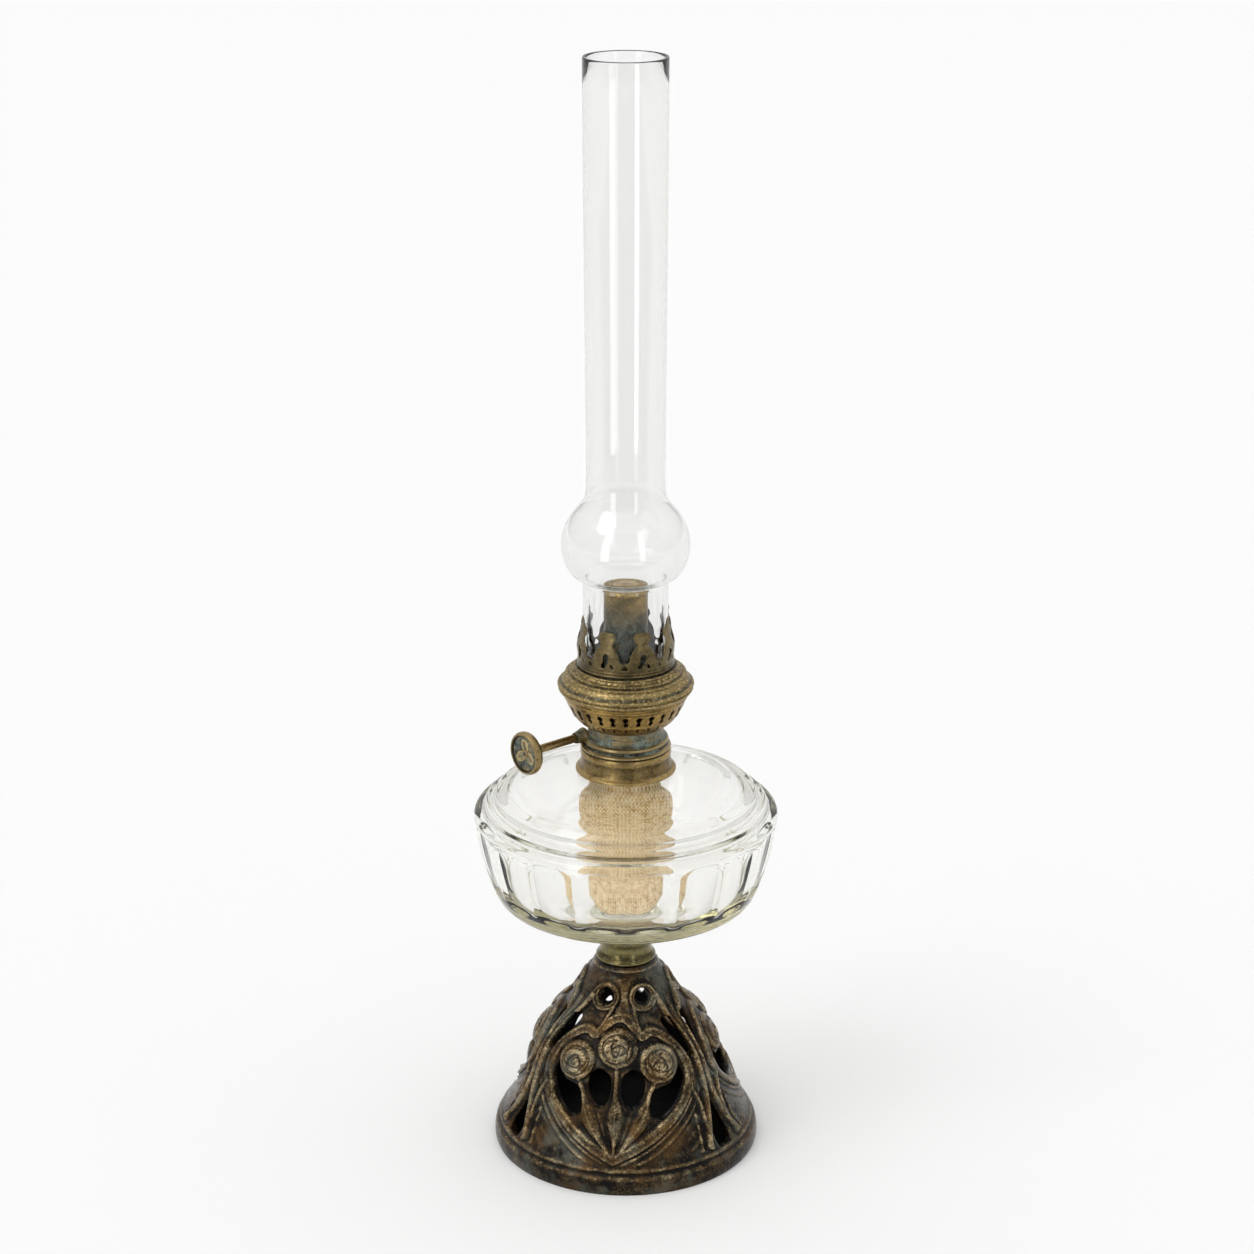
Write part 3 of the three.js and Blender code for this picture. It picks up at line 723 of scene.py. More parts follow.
def even_heights(radius, low, high, step):
    """Heights between two limits, spaced evenly along the wall's outline."""
    fine = np.linspace(low, high, 2000)
    r = radius(fine)
    length = np.concatenate([[0], np.cumsum(np.hypot(np.diff(fine), np.diff(r)))])
    count = max(2, int(round(length[-1] / step)))
    return np.interp(np.linspace(0, length[-1], count + 1), length, fine)


def radius_through(outline):
    """A smooth radius-by-height function through [radius, height] points of rising height."""
    curve = smooth_curve(outline, 10)
    return lambda height: np.interp(height, curve[:, 1], curve[:, 0])


# ---------------------------------------------------------------- cast foot

FOOT_TOP = node_top("foot_casting")
FOOT_PANELS = 3
FOOT_TURN = -6.0
FOOT_THICKNESS = 3.5
FOOT_SECTOR = 360 / FOOT_PANELS

# The ground of the relief; ribs, roses and rims stand up to 3 mm proud of it.
foot_ground = radius_through([
    [68.4, 0], [68.9, 3], [68.4, 7], [66.2, 11], [62.6, 16.5], [58.8, 22.5], [55, 31], [51.2, 41],
    [47.6, 51], [44, 59.5], [39.6, 66.5], [34.2, 73], [29.2, 78], [25.4, 83.5], [22.8, 89], [19.6, 94],
    [16.6, 98], [15.4, FOOT_TOP],
])
foot_inside = radius_through([
    [64.6, 0], [63.8, 5], [61.6, 10], [58.6, 15.5], [55.2, 22], [51.4, 31], [47.6, 41], [44, 51],
    [40.2, 59.5], [35.6, 66], [30.2, 72.4], [25.4, 77.6], [21.8, 83], [19, 88.4], [15.6, 92.6], [6, 94.7],
    [4.5, FOOT_TOP],
])

# Lines of half a panel: (degrees from the panel's middle, height). The other half mirrors them.
HEART = [
    (0, 17), (12.4, 22.6), (24.2, 29), (37, 38), (46.5, 48), (48.6, 55), (46.4, 62.5), (41, 68.6),
    (34, 72.6), (26, 74), (18.5, 72.6), (13.5, 76.2), (7, 79.2), (0, 80.2),
]
OUTER_GAP = [
    (42.5, 57.5), (44.6, 50.5), (40, 42), (31, 35.4), (23.4, 33.6), (19.8, 38), (21.4, 46), (27, 48.4),
    (35.5, 50),
]
INNER_GAP = [(11.4, 58), (17.6, 53.8), (17, 46.5), (11.8, 40), (6.8, 40.2), (3.7, 46.5), (3.7, 54.2)]
SHOULDER_GAP = [(42.5, 76.6), (53.4, 77), (56.4, 70), (56.4, 59), (53, 60.6), (49.6, 66.4), (44.5, 71.5)]
BASE_GAP = [
    (60, 36.5), (57.6, 30), (54.8, 20), (55.2, 13.4), (60, 12.6), (64.8, 13.4), (65.2, 20), (62.4, 30),
]
ROSES = [(0, 68), (28.7, 60.4)]
ROSE_RADIUS = 10.5
EYE = (24, 88.4)
EYE_HOLE = 3.9
NECK_TWIST = 4.0
CENTRE_STEM = [(0, 60), (0, 52), (0, 44), (0, 36), (0, 28), (0, 19)]
SIDE_STEM = [(25, 53), (20.6, 47.5), (18.6, 42.5), (16, 37), (11, 29.5), (5, 22.5), (0.8, 18)]
STEMS = ((CENTRE_STEM, 0.62), (SIDE_STEM, 0.55))  # each with the share of its length where it is widest
PILLAR_RIB = [(41, 88), (47.5, 81.5), (53.5, 74), (57, 64), (57.8, 52), (57, 40), (53.6, 27), (49, 16)]
SIDE_RIB = [(47, 46), (50.5, 38), (51.5, 28), (50, 15)]
NECK_RIB = [(11.5, 84.6), (13.4, 81.4), (16, 77.4), (18.5, 74)]
BRIDGE_HEIGHTS = (74, 78, 82, 86, 90, 94, 98)
BRIDGE_HALF_WIDTHS = (18, 15, 12, 8.5, 8, 10, 16)
LEAF_RIB = [(44.5, 15), (46, 24), (46, 33), (43.5, 40)]
CURVE_STEPS = 6
RIM_RINGS = ((0.7, 12.2, 1.3), (-0.7, 10.2, 0.8), (0.35, 8.4, 1.4))  # (how far out, height, half width)


def ridge(distance, half_width, sharpness=0.7):
    """A rounded ridge, 1 along its line and 0 beyond half its width."""
    return np.clip(1 - (distance / half_width) ** 2, 0, 1) ** sharpness


def rose_carving(across, up, turned):
    """Grooves of a rose: a ring round it and overlapping petals, as arcs about points off its middle."""
    distance = np.hypot(across, up)
    carved = -1.0 * bell(distance - 7.4, 0.75)
    layers = ((3, 2.6, 4.1, 7.0, 0.0), (3, 1.2, 2.3, 4.4, 1.0), (2, 0.7, 1.1, 2.2, 0.4))
    for petals, offset, arc_radius, limit, shift in layers:
        for k in range(petals):
            angle = TAU * k / petals + shift + turned
            from_centre = np.hypot(across - offset * np.cos(angle), up - offset * np.sin(angle))
            side = np.cos(np.arctan2(up, across) - angle)
            petal = (distance < limit) * smoothstep(-0.5, 0.1, side)
            carved -= 0.9 * bell(from_centre - arc_radius, 0.6) * petal
    return np.maximum(carved, -1.3)


class FootRelief:
    """Relief of the casting over its ground, in millimetres, built up layer by layer.

    Azimuths are measured from a panel's middle, and each half of a panel mirrors the other.
    """

    def __init__(self, azimuth, height):
        twist = NECK_TWIST * smoothstep(74, 88, height)
        self.height = height
        self.side = np.where(azimuth < twist, -1.0, 1.0)
        self.folded = np.abs(azimuth - twist)
        self.points = on_wall(self.folded, height, foot_ground)
        self.from_heart, _ = self.distance(HEART)
        half = smooth_curve(HEART, CURVE_STEPS)
        self.in_heart = inside_outline(self.folded, height, np.vstack([half, half[::-1] * [-1, 1]]))
        self.lower = smoothstep(52, 42, height)
        self.relief = np.zeros(len(azimuth))
        self.add_ground()
        self.add_heart()
        self.add_stems()
        for rose in ROSES:
            self.add_rose(*rose)
        self.add_pillars()
        self.add_neck()
        self.add_rim()

    def distance(self, line):
        """Each point's distance from a line on the ground, and its nearest spot along the curve."""
        curve = smooth_curve(line, CURVE_STEPS)
        return nearest_on_path(self.points, on_wall(curve[:, 0], curve[:, 1], foot_ground))

    def lay(self, top, distance, half_width, sharpness=0.7, sunk=0.0):
        """Lays a ridge over what is there. Its sides start below the ground if it is sunk."""
        self.relief = np.maximum(self.relief, top * ridge(distance, half_width, sharpness) - sunk)

    def add_ground(self):
        """Leafy ground under the heart: two ridges along its edge, then a leaf with feathered veins."""
        field = self.lower * (1.0 - self.in_heart) * smoothstep(13.5, 16, self.height)
        self.relief += field * 1.0 * bell(self.from_heart - 4.4, 1.3)
        self.relief += field * 0.8 * bell(self.from_heart - 8.2, 1.3)
        distance, spot = self.distance(LEAF_RIB)
        leaf = smoothstep(15, 5, distance) * smoothstep(9.4, 11.5, self.from_heart) * field
        self.relief += leaf * 0.3 * np.cos(TAU * (spot / 3.6 + distance / 7.5))
        self.relief += field * smoothstep(9.6, 11, self.from_heart) * 0.8 * ridge(distance, 1.1)

    def add_heart(self):
        """A sunk field inside a double rim, with a fan of blades that rises from its tip."""
        within_rim = smoothstep(1.5, 3.5, self.from_heart)
        self.relief -= 1.2 * self.in_heart * within_rim
        self.lay(2.3, self.from_heart, 2.9, 0.35, 0.4)
        self.relief += 0.6 * bell(self.from_heart - 1.9, 0.6) - 0.3 * bell(self.from_heart, 1.2)
        above_tip = np.maximum(self.height - 15, 0.1)
        tip_angle = np.degrees(np.arctan2(self.folded * 1.02, above_tip))
        fan = self.in_heart * smoothstep(42, 35, self.height) * within_rim
        self.relief += fan * 1.0 * (0.5 + 0.5 * np.cos(TAU * tip_angle / 11.5))

    def add_stems(self):
        """The roses' stems, which widen into blades."""
        for line, wide_at in STEMS:
            distance, spot = self.distance(line)
            share = spot / (CURVE_STEPS * (len(line) - 1))
            taper = 1 - smoothstep(0.8, 1, share) * 0.8
            width = 1.4 + 3.2 * np.exp(-(((share - wide_at) / 0.2) ** 2)) * taper
            self.lay(2.4, distance, width, 0.6, 0.5)
            self.relief += 0.9 * bell(distance, 0.55) * smoothstep(0.2, 0.35, share) * self.lower

    def add_rose(self, azimuth, height):
        """A carved dome."""
        centre = on_wall(azimuth, height, foot_ground)
        distance = np.linalg.norm(self.points - centre, axis=1)
        up = self.points[:, 2] - centre[2]
        across = np.sqrt(np.maximum(distance**2 - up**2, 0)) * np.sign(self.folded - azimuth) * self.side
        dome = np.sqrt(np.clip(1 - (distance / ROSE_RADIUS) ** 2, 0, 1))
        turned = 0.9 * self.side + 0.05 * azimuth
        carved = 3.4 * dome**0.8 + 0.75 * rose_carving(across, up, turned)
        covered = np.maximum(self.relief, carved)
        self.relief = np.where(distance < ROSE_RADIUS, covered, self.relief)
        self.relief -= 1.0 * bell(distance - ROSE_RADIUS - 0.6, 1.0) * self.in_heart

    def add_pillars(self):
        """The pillars between the panels, with ribs along their sides."""
        pillar = smoothstep(56, 58.5, self.folded) * smoothstep(34, 42, self.height)
        self.relief = np.maximum(self.relief, 1.1 * pillar * smoothstep(90, 80, self.height))
        distance, _ = self.distance(PILLAR_RIB)
        self.lay(2.6, distance, 2.0)
        self.relief -= 0.6 * bell(distance - 2.4, 0.8) * smoothstep(84, 70, self.height)
        self.lay(1.8, self.distance(SIDE_RIB)[0], 1.5)

    def add_neck(self):
        """Ringed eyes and a Y-shaped bridge between them that runs into the heart's rims."""
        distance = np.linalg.norm(self.points - on_wall(*EYE, foot_ground), axis=1)
        self.lay(1.8, distance - 6.5, 0.9)
        self.lay(1.2, distance - 5.1, 0.6)
        half_bridge = np.interp(self.height, BRIDGE_HEIGHTS, BRIDGE_HALF_WIDTHS)
        neck = smoothstep(76, 80, self.height) * smoothstep(98, 93, self.height)
        self.relief = np.maximum(self.relief, 1.5 * neck * smoothstep(0, 7, half_bridge - self.folded))
        self.lay(2.1, self.distance(NECK_RIB)[0], 1.3)

    def add_rim(self):
        """A ring at the top, and the plain rim with its grooves."""
        self.relief += 0.9 * bell(self.height - 99.6, 1.0) * (self.height > 97)
        self.relief *= smoothstep(10.6, 13.5, self.height)
        for amount, height, width in RIM_RINGS:
            self.relief += amount * bell(self.height - height, width)


def build_foot():
    heights = even_heights(foot_ground, 0, FOOT_TOP, 0.62)
    wall = PiercedWall(FOOT_SECTOR, 200, heights, foot_ground)
    for gap in (OUTER_GAP, INNER_GAP, SHOULDER_GAP):
        wall.pierce(gap)
        wall.pierce([(-azimuth, height) for azimuth, height in gap])
    wall.pierce(BASE_GAP)
    for side in (1, -1):
        middle = side * EYE[0] + NECK_TWIST
        across = math.degrees(EYE_HOLE / foot_ground(EYE[1]))
        angles = np.arange(12) / 12 * TAU
        wall.pierce([(middle + across * math.cos(a), EYE[1] + 3.5 * math.sin(a)) for a in angles], 3)
    relief = FootRelief(wall.azimuth, wall.height).relief
    proud = np.clip(wall.standing_out(relief, 5, 0.55) + 0.25 * (relief - 0.9), -1, 1)
    vertices, faces, shade, one_side = wall.build(
        FOOT_PANELS, relief, FOOT_THICKNESS, proud, foot_inside, FOOT_TURN, lip=1.1,
    )
    # The foot's inside faces are near-black, as painted shade.
    add_piece(
        "cast_foot", vertices, faces, BRONZE, "lamp_base", ("foot_casting",), {"proud": shade},
        (PAINTED_SHADE_BLACK, one_side, 2 * one_side),
    )


build_foot()
# A near-black disc on the floor inside the foot, painted shade for what shows through the openings.
SHADE_DISC = [(5, 0.2), (63.8, 0.2), (63.6, 1.1), (5, 1.1)]
turned_piece("foot_shade_disc", SHADE_DISC, PAINTED_SHADE_BLACK, "lamp_base", (), 0.1)

# ---------------------------------------------------------------- stem collar and font

STEM_COLLAR = [
    (4.4, 101.6), (14.6, 101.6), (15.4, 102.3), (15.4, 103.4), (14.5, 104.6), (13.6, 106.2),
    (13.2, 108.4), (13.4, 110.6), (14, 112.6), (14.3, 113.6), (13.9, 114.5), (12, 114.5), (11.8, 108),
    (4.4, 107.8),
]
turned_piece("stem_collar_spun", STEM_COLLAR, OLIVE_BRASS, "lamp_base", ("stem_collar",), 0.5)

FLUTES = 18
FLUTE_SEGMENTS = 24
FLUTE_DEPTH = 1.6
FLUTE_HEIGHTS = (145.4, 181.6)
FLUTE_ARCHES = (2.5, 5.0)  # how much shorter a flute is at its ridges, at its foot and its top
FONT_OUTSIDE = [
    (0, 112.4), (8.5, 112.4), (8.5, 114.8), (13, 115), (14.6, 115.6), (16.5, 118), (20, 121.4), (26, 125),
    (36, 129), (48, 132.6), (58, 135.6), (64, 138.4), (66.2, 140.8), (66.9, 142.6), (67.3, 143.4),
    (68.4, 146), (70.2, 151), (72, 156.5), (73.8, 163), (75.2, 170), (76.2, 176), (76.8, 180), (77, 182),
    (76.7, 183.6), (75.6, 184.8), (74, 185.4), (72.6, 185.7), (72, 186.4), (71.8, 187.6), (71.2, 188.9),
    (69.8, 189.7), (68, 189.8), (66.8, 190.2), (66.4, 191.6), (66.2, 193.2), (65.2, 194.6), (63, 195.5),
    (60, 196), (57, 197), (54, 198.4), (51.4, 199.2), (50, 199.6), (44, 201.4), (36, 203.4), (28, 205),
    (24, 205.6), (21, 205.9), (20.3, 207), (20.3, 215),
]
FONT_INSIDE = [
    (19.4, 215.5), (18, 215.2), (17.6, 213), (17.6, 205), (18.4, 202.8), (21, 201.6), (28, 200.6),
    (38, 198.8), (47, 196.8), (53.6, 194.8), (58.6, 192.8), (62.2, 190.4), (64.8, 187), (68.4, 185.2),
    (71.6, 183), (73, 180), (72.8, 175), (71.2, 167), (68.8, 158), (66, 150.6), (62.4, 145.8), (56, 143),
    (46, 139.8), (34, 135.8), (20, 131.6), (8, 129.6), (0, 129.2),
]


def build_font():
    """The pressed-glass font: flutes scooped into its side between sharp ridges, each with an arched top."""
    outer_curve, inner_curve = smooth_curve(FONT_OUTSIDE, 4), smooth_curve(FONT_INSIDE, 3)
    outline = np.vstack([outer_curve, inner_curve])
    segments = FLUTES * FLUTE_SEGMENTS
    azimuth = np.arange(segments) / segments * TAU
    radius, height = outline[:, :1], outline[:, 1:]
    from_ridge = 1 - np.abs(((azimuth * FLUTES / TAU) % 1) * 2 - 1)
    hollow = 1 - (1 - from_ridge) ** 2
    outer_rows = (np.arange(len(outline)) < len(outer_curve))[:, None]
    foot_of_flute = FLUTE_HEIGHTS[0] + FLUTE_ARCHES[0] * (1 - hollow)
    arch = FLUTE_HEIGHTS[1] - FLUTE_ARCHES[1] * (1 - hollow) ** 1.5
    inside = smoothstep(0, 1.3, arch - height) * smoothstep(0, 3.2, height - foot_of_flute)
    radius = radius - FLUTE_DEPTH * hollow * inside * outer_rows
    vertices = polar(radius, azimuth, height).reshape(-1, 3)
    faces = ring_faces(len(outline), segments, False)
    add_piece("pressed_glass_font", vertices, faces, FONT_GLASS, "lamp_base", ("glass_font",))


build_font()

FONT_COLLAR = [
    (24.2, 206.1), (25.3, 206.1), (25.3, 207.2), (24.4, 207.8), (23.3, 208.6), (22.9, 210), (22.6, 212),
    (22.5, 214.4), (22.9, 215.4), (22.9, 216.6), (22.6, 218), (16.6, 218), (16.6, 207), (17.3, 207),
    (17.3, 217.1), (21.9, 217.1), (21.9, 208.4), (22.6, 207.2), (24.2, 206.7),
]
turned_piece(
    "font_collar_spun", FONT_COLLAR, COLLAR_BRASS, "lamp_base", ("font_collar",), 0.25,
)

# ---------------------------------------------------------------- burner base and wick raiser

BURNER_BASE = [
    (15.7, 208), (16.3, 208), (16.3, 218.3), (22.2, 218.3), (22.8, 218.9), (22.6, 219.7), (21.5, 220.2),
    (20.3, 220.8), (20.3, 221.3), (21.2, 221.8), (21.6, 222.6), (21.3, 223.4), (20.1, 223.9),
    (19.3, 224.6), (19.0, 226), (19.1, 226.8), (18.8, 227.4), (19.1, 228.2), (19.5, 229.8), (20, 231),
    (19.4, 231), (18.4, 228), (18.5, 225), (19.9, 222.4), (19.6, 219.2), (15.7, 219.2),
]
turned_piece(
    "burner_base_spun", BURNER_BASE, GREEN_BRASS, "burner", ("burner_base",), 0.25,
)

SPINDLE_HEIGHT = 223.8
SPINDLE_YAW = math.radians(40)
SPINDLE_OFFSET = 12.8
SPINDLE_ALONG = np.array([math.cos(SPINDLE_YAW), math.sin(SPINDLE_YAW), 0])
SPINDLE_ASIDE = np.array([-math.sin(SPINDLE_YAW), math.cos(SPINDLE_YAW), 0])


def along_spindle(points):
    """Points given as (station along the spindle, aside, up) moved to the lamp's frame."""
    points = np.asarray(points, dtype=float)
    centre = SPINDLE_ASIDE * SPINDLE_OFFSET + np.array([0, 0, SPINDLE_HEIGHT])
    return centre + points @ np.array([SPINDLE_ALONG, SPINDLE_ASIDE, [0, 0, 1]])


def spindle_piece(name, outline, material, body, replaced, radius=0.3, segments=64, shape=None):
    """A closed [radius, station] outline turned about the spindle. shape may move its vertices first."""
    corners = rounded(outline, radius)
    vertices, faces = turn(corners, segments)
    proud = np.repeat(proud_of(corners), segments)
    swapped = np.stack([vertices[:, 2], -vertices[:, 0], vertices[:, 1]], axis=-1)
    if shape is not None:
        swapped, proud = shape(swapped, proud)
    return add_piece(name, along_spindle(swapped), faces, material, body, replaced, {"proud": proud})


spindle_piece(
    "spindle_rod", [(0, -54.6), (2.1, -54.6), (2.1, -13), (1.4, -12.4), (1.4, 10.8), (0, 11)], KNOB_BRASS,
    "wick_raiser", ("wick_spindle",),
)
SPINDLE_BOSS = [
    (2.4, -22.6), (2.8, -22.6), (3.0, -21.2), (3.5, -19.2), (4.3, -17), (4.3, -16.4), (2.4, -16.4),
]
spindle_piece("spindle_boss", SPINDLE_BOSS, GREEN_BRASS, "burner", ("spindle_sleeve",))

KNOB = [
    (2.5, -46.5), (2.5, -53.2), (8.2, -53.2), (8.5, -54.6), (8.9, -55.1), (9.6, -55.6), (10.4, -55.4),
    (11, -54.2), (11, -52.6), (10.4, -51.3), (9.6, -50.9), (8.6, -51.5), (5.2, -51.5), (4.5, -50.9),
    (4.2, -49.5), (4.2, -46.5),
]
spindle_piece("wick_knob_pressed", KNOB, KNOB_BRASS, "wick_raiser", ("wick_knob",), 0.25, 96)

FACE_RADIUS = 8.6
FACE_FRONT = -53.6
LEAF_LOBES = 3


def stamped_leaf(points, proud):
    """A leaf of three lobes with a vein down each, stamped in the knob's dished face."""
    radius = np.hypot(points[:, 1], points[:, 2])
    angle = np.arctan2(points[:, 2], points[:, 1]) + 0.6
    lobe = np.abs(np.cos(LEAF_LOBES * angle / 2)) ** 1.6
    reach = 1.6 + 5.4 * lobe
    leaf = smoothstep(0.5, -0.5, radius - reach)
    edge = bell(radius - reach, 0.9)
    vein = bell(np.sin(LEAF_LOBES * angle / 2) * radius, 0.6) * leaf
    front = points[:, 0] < FACE_FRONT
    raised = np.where(front, 0.28 * leaf + 0.25 * edge - 0.25 * vein, 0)
    moved = points.copy()
    moved[:, 0] -= raised
    return moved, np.where(front, np.clip(1.1 * edge + 0.5 * leaf - 0.9 * vein, -1, 1), proud)


FACE = [(0, -53.3)] + [(r, -53.9 - 0.9 * (r / FACE_RADIUS) ** 3) for r in np.arange(0, FACE_RADIUS, 0.3)]
FACE += [(FACE_RADIUS, -54.7), (FACE_RADIUS, -53.3)]
spindle_piece(
    "wick_knob_face", FACE[::-1], FACE_BRASS, "wick_raiser", (), 0.01, 180, stamped_leaf,
)

# ---------------------------------------------------------------- basket, deck and crown

BASKET_SLOTS = 28
BASKET_THICKNESS = 0.7


def mirrored(half):
    """A closed outline of (azimuth, height) pairs from its half on and to one side of azimuth 0."""
    return half + [(-azimuth, height) for azimuth, height in reversed(half) if azimuth]


def build_basket():
    """A bowl of thin brass with a row of dumbbell slots round it and fine holes below them."""
    outside = radius_through([
        (20, 231.3), (22.6, 232.6), (24.9, 234.8), (26.9, 237.5), (28.7, 240.8), (30.2, 244.4),
        (31.4, 248.1),
    ])
    sector = 360 / BASKET_SLOTS
    wall = PiercedWall(sector, 26, even_heights(outside, 231.35, 248.1, 0.3), outside)
    wall.pierce(mirrored([
        (0, 244), (2, 243.5), (2.5, 242.5), (1.7, 241.7), (0.9, 241.2), (1.2, 240.6), (2, 240),
        (1.7, 239), (0, 238.6),
    ]), 3)
    wall.pierce(mirrored([(0, 236.4), (0.8, 236), (0.9, 235.2), (0.7, 234.4), (0, 234.1)]), 3)
    side_hole = [(0.9 * math.sin(a), 235.6 + 0.35 * math.cos(a)) for a in np.arange(8) / 8 * TAU]
    wall.pierce([(azimuth + sector / 2, height) for azimuth, height in side_hole], 3)
    relief = 0.35 * bell(wall.height - 246.2, 0.6) + 0.25 * bell(wall.height - 237.4, 0.5)
    proud = np.clip(wall.standing_out(relief, 4, 0.3) - 0.5 * bell(wall.opening, 0.5), -1, 1)
    vertices, faces, shade, _ = wall.build(BASKET_SLOTS, relief, BASKET_THICKNESS, proud, lip=0.25)
    add_piece(
        "basket_pierced", vertices, faces, BASKET_BRASS, "burner", ("basket",),
        {"proud": shade},
    )
    floor = [(16, 231.3), (20.4, 231.3), (21.4, 231.9), (21.1, 232.5), (20, 232), (16, 232)]
    turned_piece("basket_floor", floor, BASKET_BRASS, "burner", (), 0.2)


build_basket()

DECK = [
    (14.5, 261.6), (23.4, 261.6), (25, 260.6), (26.6, 258.6), (29, 257), (32.3, 253.2), (32.6, 252),
    (32.6, 250.8), (31.6, 249.8), (30, 249.2), (30, 248.5), (32.2, 248.5), (32.9, 249), (33.5, 249.6),
    (33.8, 250.2), (33.6, 250.8), (33.1, 251.1), (33.1, 251.4), (33.8, 251.6), (34.2, 252.2), (34, 252.9),
    (33.4, 253.3), (32.7, 253.5), (32.3, 254.3), (31.6, 255.4), (30.7, 256.4), (29.9, 257), (29.7, 257.3),
    (30.3, 257.6), (30.3, 258.2), (29.6, 258.5), (28.5, 258.5), (28.0, 258.8), (28.3, 259.2),
    (28.1, 259.7), (27.2, 259.9), (26.6, 260.3), (26.1, 260.9), (25.7, 261.2), (26, 261.6), (25.7, 262.1),
    (25, 262.3), (14.5, 262.3),
]
turned_piece("gallery_deck_spun", DECK, BRIM_BRASS, "burner", ("gallery_deck",), 0.15, 192)

PRONGS = 8
PRONG_RADIUS = 24.2
CROWN_THICKNESS = 0.6
CROWN_TURN = 20.9

# The two prongs whose tips are lost, each between two azimuths, and the height they are broken at.
LOST_TIPS = ((-45, 0), (0, 45))
LOST_TIP_HEIGHT = 285.3

# Half a prong, from the middle of the cut beside it up to its tip: (mm from the prong's middle, height).
HALF_PRONG = [
    (9.5, 270.2), (8.2, 270.4), (7.0, 271.5), (6.5, 273.8), (5.6, 276), (3.7, 278.4), (3.3, 280),
    (4.7, 282.2), (4.6, 284), (3.4, 285.2), (2.2, 285.4), (1.9, 286.4), (1.2, 287), (1.0, 289.4),
    (0.4, 290.1),
]
KEYHOLE = [
    (0, 275), (1.2, 274.3), (1.6, 273), (1.3, 271.4), (0.8, 270.2), (0.1, 269), (-0.8, 267.6),
    (-2.3, 267.2), (-3.0, 268.4), (-2.2, 269.8), (-1.6, 271), (-1.6, 273), (-1.2, 274.3),
]
SIDE_DROP = [(2.0, 269.8), (3.2, 269.2), (4.0, 268), (3.5, 267), (2.3, 268)]
CUT_DROP = [
    (0, 269.6), (0.9, 268.7), (1.7, 267.8), (1.2, 266.6), (0, 266.9), (-1.2, 266.6), (-1.7, 267.8),
    (-0.9, 268.7),
]


def around(points, middle=0.0):
    """(mm along the crown, height) pairs as (azimuth, height) pairs about an azimuth."""
    return [(middle + math.degrees(across / PRONG_RADIUS), height) for across, height in points]


def build_crown():
    """A pierced band of leaf-shaped prongs with cuts between them; the front two have lost their tips."""
    outside = radius_through([
        (24.2, 262.6), (24, 265), (24, 268), (24.3, 271), (24.5, 273.5), (23.9, 277), (23.1, 281),
        (22.6, 284.6), (22.5, 287.4), (23, 290),
    ])
    wall = PiercedWall(360 / PRONGS, 84, even_heights(outside, 262.62, 290, 0.3), outside)
    middle = 180 / PRONGS
    rising = around(HALF_PRONG[1:])
    cut = [(middle, HALF_PRONG[0][1])] + rising + [(rising[-1][0], 297), (middle, 300)]
    cut += [(2 * middle - azimuth, height) for azimuth, height in reversed(cut[1:-1])]
    wall.pierce(cut, 4)
    wall.pierce(around(KEYHOLE), 3)
    wall.pierce(around(SIDE_DROP), 3)
    wall.pierce(around(CUT_DROP, middle), 3)
    relief = 0.3 * bell(wall.height - 263.4, 0.8) + 0.25 * bell(wall.height - 265, 0.5)
    proud = np.clip(wall.standing_out(relief, 4, 0.3) + 0.8 * bell(wall.opening, 0.4), -1, 1)
    vertices, faces, shade, _ = wall.build(
        PRONGS, relief, CROWN_THICKNESS, proud, turned_by=CROWN_TURN, lip=0.2,
    )
    azimuth = np.degrees(np.arctan2(vertices[:, 0], -vertices[:, 1]))
    for low, high in LOST_TIPS:
        tip = (azimuth > low) & (azimuth < high) & (vertices[:, 2] > LOST_TIP_HEIGHT)
        vertices[tip, 2] = LOST_TIP_HEIGHT + 0.12 * (vertices[tip, 2] - LOST_TIP_HEIGHT)
    add_piece(
        "gallery_crown_pierced", vertices, faces, CROWN_BRASS, "burner", ("gallery_crown",),
        {"proud": shade},
    )


build_crown()

# ---------------------------------------------------------------- tubes and wick

TUBE = [
    (10.5, 207.5), (11, 207.5), (11, 268), (11, 290), (11, 299.9), (11.4, 300.4), (11.5, 301.1),
    (11.4, 301.8), (10.9, 302.5), (10.0, 302.8), (9.0, 302.75), (6.9, 302.5), (6.9, 302.1), (9.2, 302),
    (10.3, 301.8), (10.5, 300.4),
]
tube = turned_piece("wick_tube_drawn", TUBE, TUBE_BRASS, "burner", ("wick_tube",), 0.2)
LIP_FROM = 302.05
for vertex, share in zip(tube.data.vertices, tube.data.attributes["proud"].data):
    if vertex.co.z > LIP_FROM * MM:
        share.value = 0.6

WICK_THICK = 2.6
WICK_RADIUS = 8.8
WICK_WIDTH = 46
WICK_OPEN_WIDTH = 52
WICK_OPEN_RADIUS = 30
WICK_OPEN_BELOW = 201.5
WICK_OPEN_BY = 189
WICK_TIGHT_RADIUS = 5.4
WICK_TIGHT_FROM = 292.4
WICK_TIGHT_BY = 295.8
WICK_SEAM = 140
WICK_ENDS = (132.8, 302.2)
WICK_CURL_FROM = 154
WICK_CURL = 9
WICK_HEM = 5.5
WICK_SPLIT = 208
WICK_OVERLAP = 0.2
WICK_END_RADIUS = 6.7
WICK_END_HEIGHT = 302.3


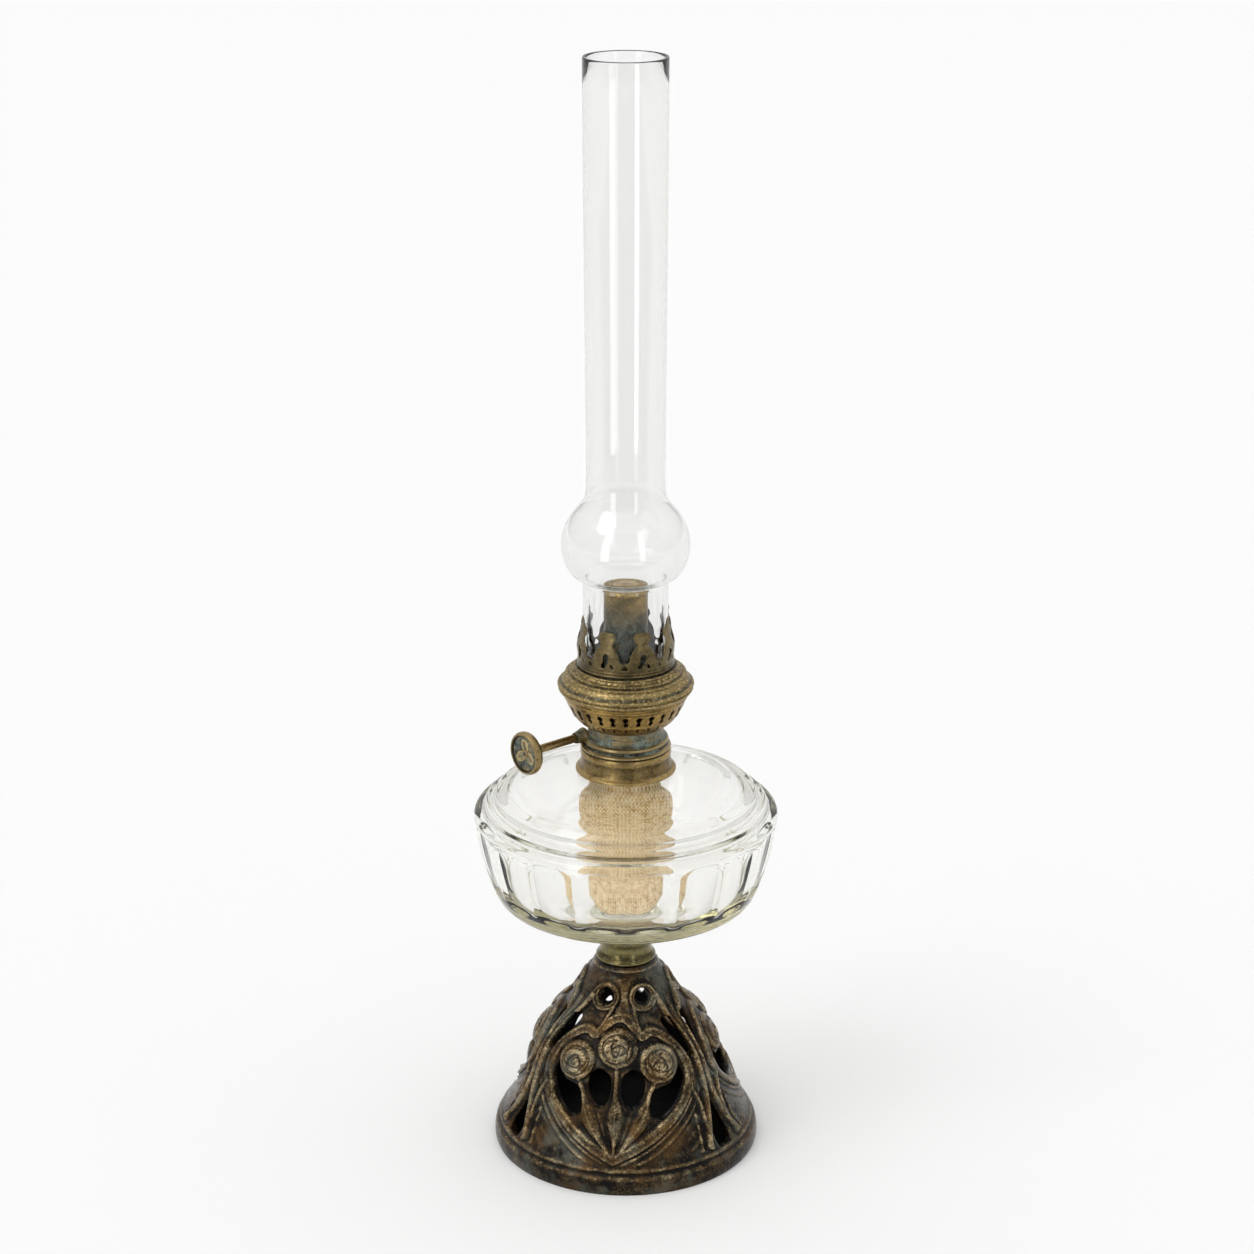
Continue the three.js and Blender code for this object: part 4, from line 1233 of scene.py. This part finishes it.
def wick_points(across, through, height):
    """Points of the wick: a ring in its tube, opened into a wide strip that faces the front in the font."""
    opened = smoothstep(-WICK_OPEN_BELOW, -WICK_OPEN_BY, -height)
    radius = 1 / ((1 - opened) / WICK_RADIUS + opened / WICK_OPEN_RADIUS)
    width = WICK_WIDTH + (WICK_OPEN_WIDTH - WICK_WIDTH) * opened
    middle = (1 - opened) * math.radians(WICK_SEAM - 180)
    angle = middle + across * width / radius
    tight = smoothstep(WICK_TIGHT_FROM, WICK_TIGHT_BY, height)
    back = WICK_RADIUS - radius
    out = radius + through * WICK_THICK - tight * (WICK_RADIUS - WICK_TIGHT_RADIUS)
    low = smoothstep(-WICK_CURL_FROM, -WICK_ENDS[0], -height)
    points = polar(back, middle, 0) + polar(out, angle, height + WICK_HEM * (2 * across) ** 2 * low)
    points[:, 1] -= WICK_CURL * low
    return points, across * width


def wick_strip(name, low, high, body):
    """A length of the wick as a closed strip with rounded edges."""
    columns, rows = 90, max(8, int((high - low) / 1.2))
    edge = np.linspace(-0.5, 0.5, columns)
    rim = 0.5 * np.sqrt(np.clip(1 - (np.abs(edge) / 0.5) ** 24, 0.02, 1))
    loop_across = np.concatenate([edge, edge[::-1]])
    loop_through = np.concatenate([rim, -rim])
    heights = np.linspace(low, high, rows)
    across = np.tile(loop_across, rows)
    through = np.tile(loop_through, rows)
    height = np.repeat(heights, len(loop_across))
    vertices, distance = wick_points(across, through, height)
    drape = 0.004 * distance**2
    faces = [face[::-1] for face in ring_faces(rows, len(loop_across), False)]
    for row in (0, rows - 1):
        start = row * 2 * columns
        for i in range(columns - 1):
            across_from = start + 2 * columns - 1 - i
            face = (start + i, start + i + 1, across_from - 1, across_from)
            faces.append(face if row == 0 else face[::-1])
    knitted = {"across": distance, "along": height + drape}
    return add_piece(name, vertices, faces, COTTON, body, ("wick",), knitted)


wick_strip("wick_in_tube", WICK_SPLIT, WICK_ENDS[1] - 1.2, "wick")
hanging = wick_strip("wick_in_font", WICK_ENDS[0], WICK_SPLIT + WICK_OVERLAP, None)
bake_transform(hanging)


def build_wick_end():
    """The wick's frayed, tan end, closed over its middle."""
    rings, segments = 14, 72
    floor = WICK_END_HEIGHT - 1.1
    outline = [(0, floor), (WICK_END_RADIUS, floor)]
    for share in np.arange(rings, -1, -1) / rings:
        outline.append((WICK_END_RADIUS * share, WICK_END_HEIGHT + 0.35 * math.cos(share * math.pi / 2)))
    vertices, faces = turn(outline, segments)
    fray = np.random.default_rng(4).normal(0, 0.12, len(vertices)) * (vertices[:, 2] > 301.9)
    vertices[:, 2] += fray
    along = np.hypot(vertices[:, 0], vertices[:, 1])
    across = np.degrees(np.arctan2(vertices[:, 0], vertices[:, 1])) * 0.12
    knitted = {"across": across, "along": along}
    add_piece("wick_end_frayed", vertices, faces, COTTON, "wick", (), knitted)


build_wick_end()

# ---------------------------------------------------------------- chimney

LAMP_TOP = node_top("chimney")
CHIMNEY_OUTSIDE = [
    (20.4, 262.7), (21.1, 263.4), (21.1, 280), (21.1, 302), (20.9, 306), (21.4, 307.2), (24.6, 308.6),
    (28, 311.8), (30.4, 316.6), (31.7, 323), (31.3, 329), (29.6, 334.8), (26.8, 339.8), (23.4, 344),
    (20.9, 347.4), (19.8, 350.6), (19.4, 355), (19.4, 380), (19.7, 430), (20.1, 500),
    (20.4, LAMP_TOP - 1),
]
CHIMNEY_WALL = 1.6
CHIMNEY_LIP = 0.3
CHIMNEY_FLOOR = 262.9


def build_chimney():
    outside = smooth_curve(CHIMNEY_OUTSIDE, 5)
    slope = np.gradient(outside, axis=0)
    normal = np.stack([slope[:, 1], -slope[:, 0]], axis=-1)
    normal /= np.linalg.norm(normal, axis=1)[:, None]
    inside = (outside - normal * CHIMNEY_WALL)[::-1]
    inside = inside[inside[:, 1] > CHIMNEY_FLOOR]
    rim = CHIMNEY_OUTSIDE[-1][0]
    top = [(rim - CHIMNEY_LIP, LAMP_TOP), (rim - CHIMNEY_WALL + CHIMNEY_LIP, LAMP_TOP)]
    vertices, faces = turn(np.vstack([outside, top, inside]), 160)
    add_piece("glass_chimney", vertices, faces, CHIMNEY_GLASS, "chimney", ("chimney",))


build_chimney()

# ---------------------------------------------------------------- carried-over parts

CARRIED_OVER = {
    ("foot_washer", "foot_nut", "tie_rod", "knob_pin"): STEEL,
    ("peg_plaster", "neck_plaster"): PLASTER,
    ("tube_plate", "wheel_bracket", "draught_tube", "air_duct", "spur_wheel_1", "spur_wheel_2"): CROWN_BRASS,
}
for names, material in CARRIED_OVER.items():
    for name in names:
        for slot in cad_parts[name].material_slots:
            slot.material = material
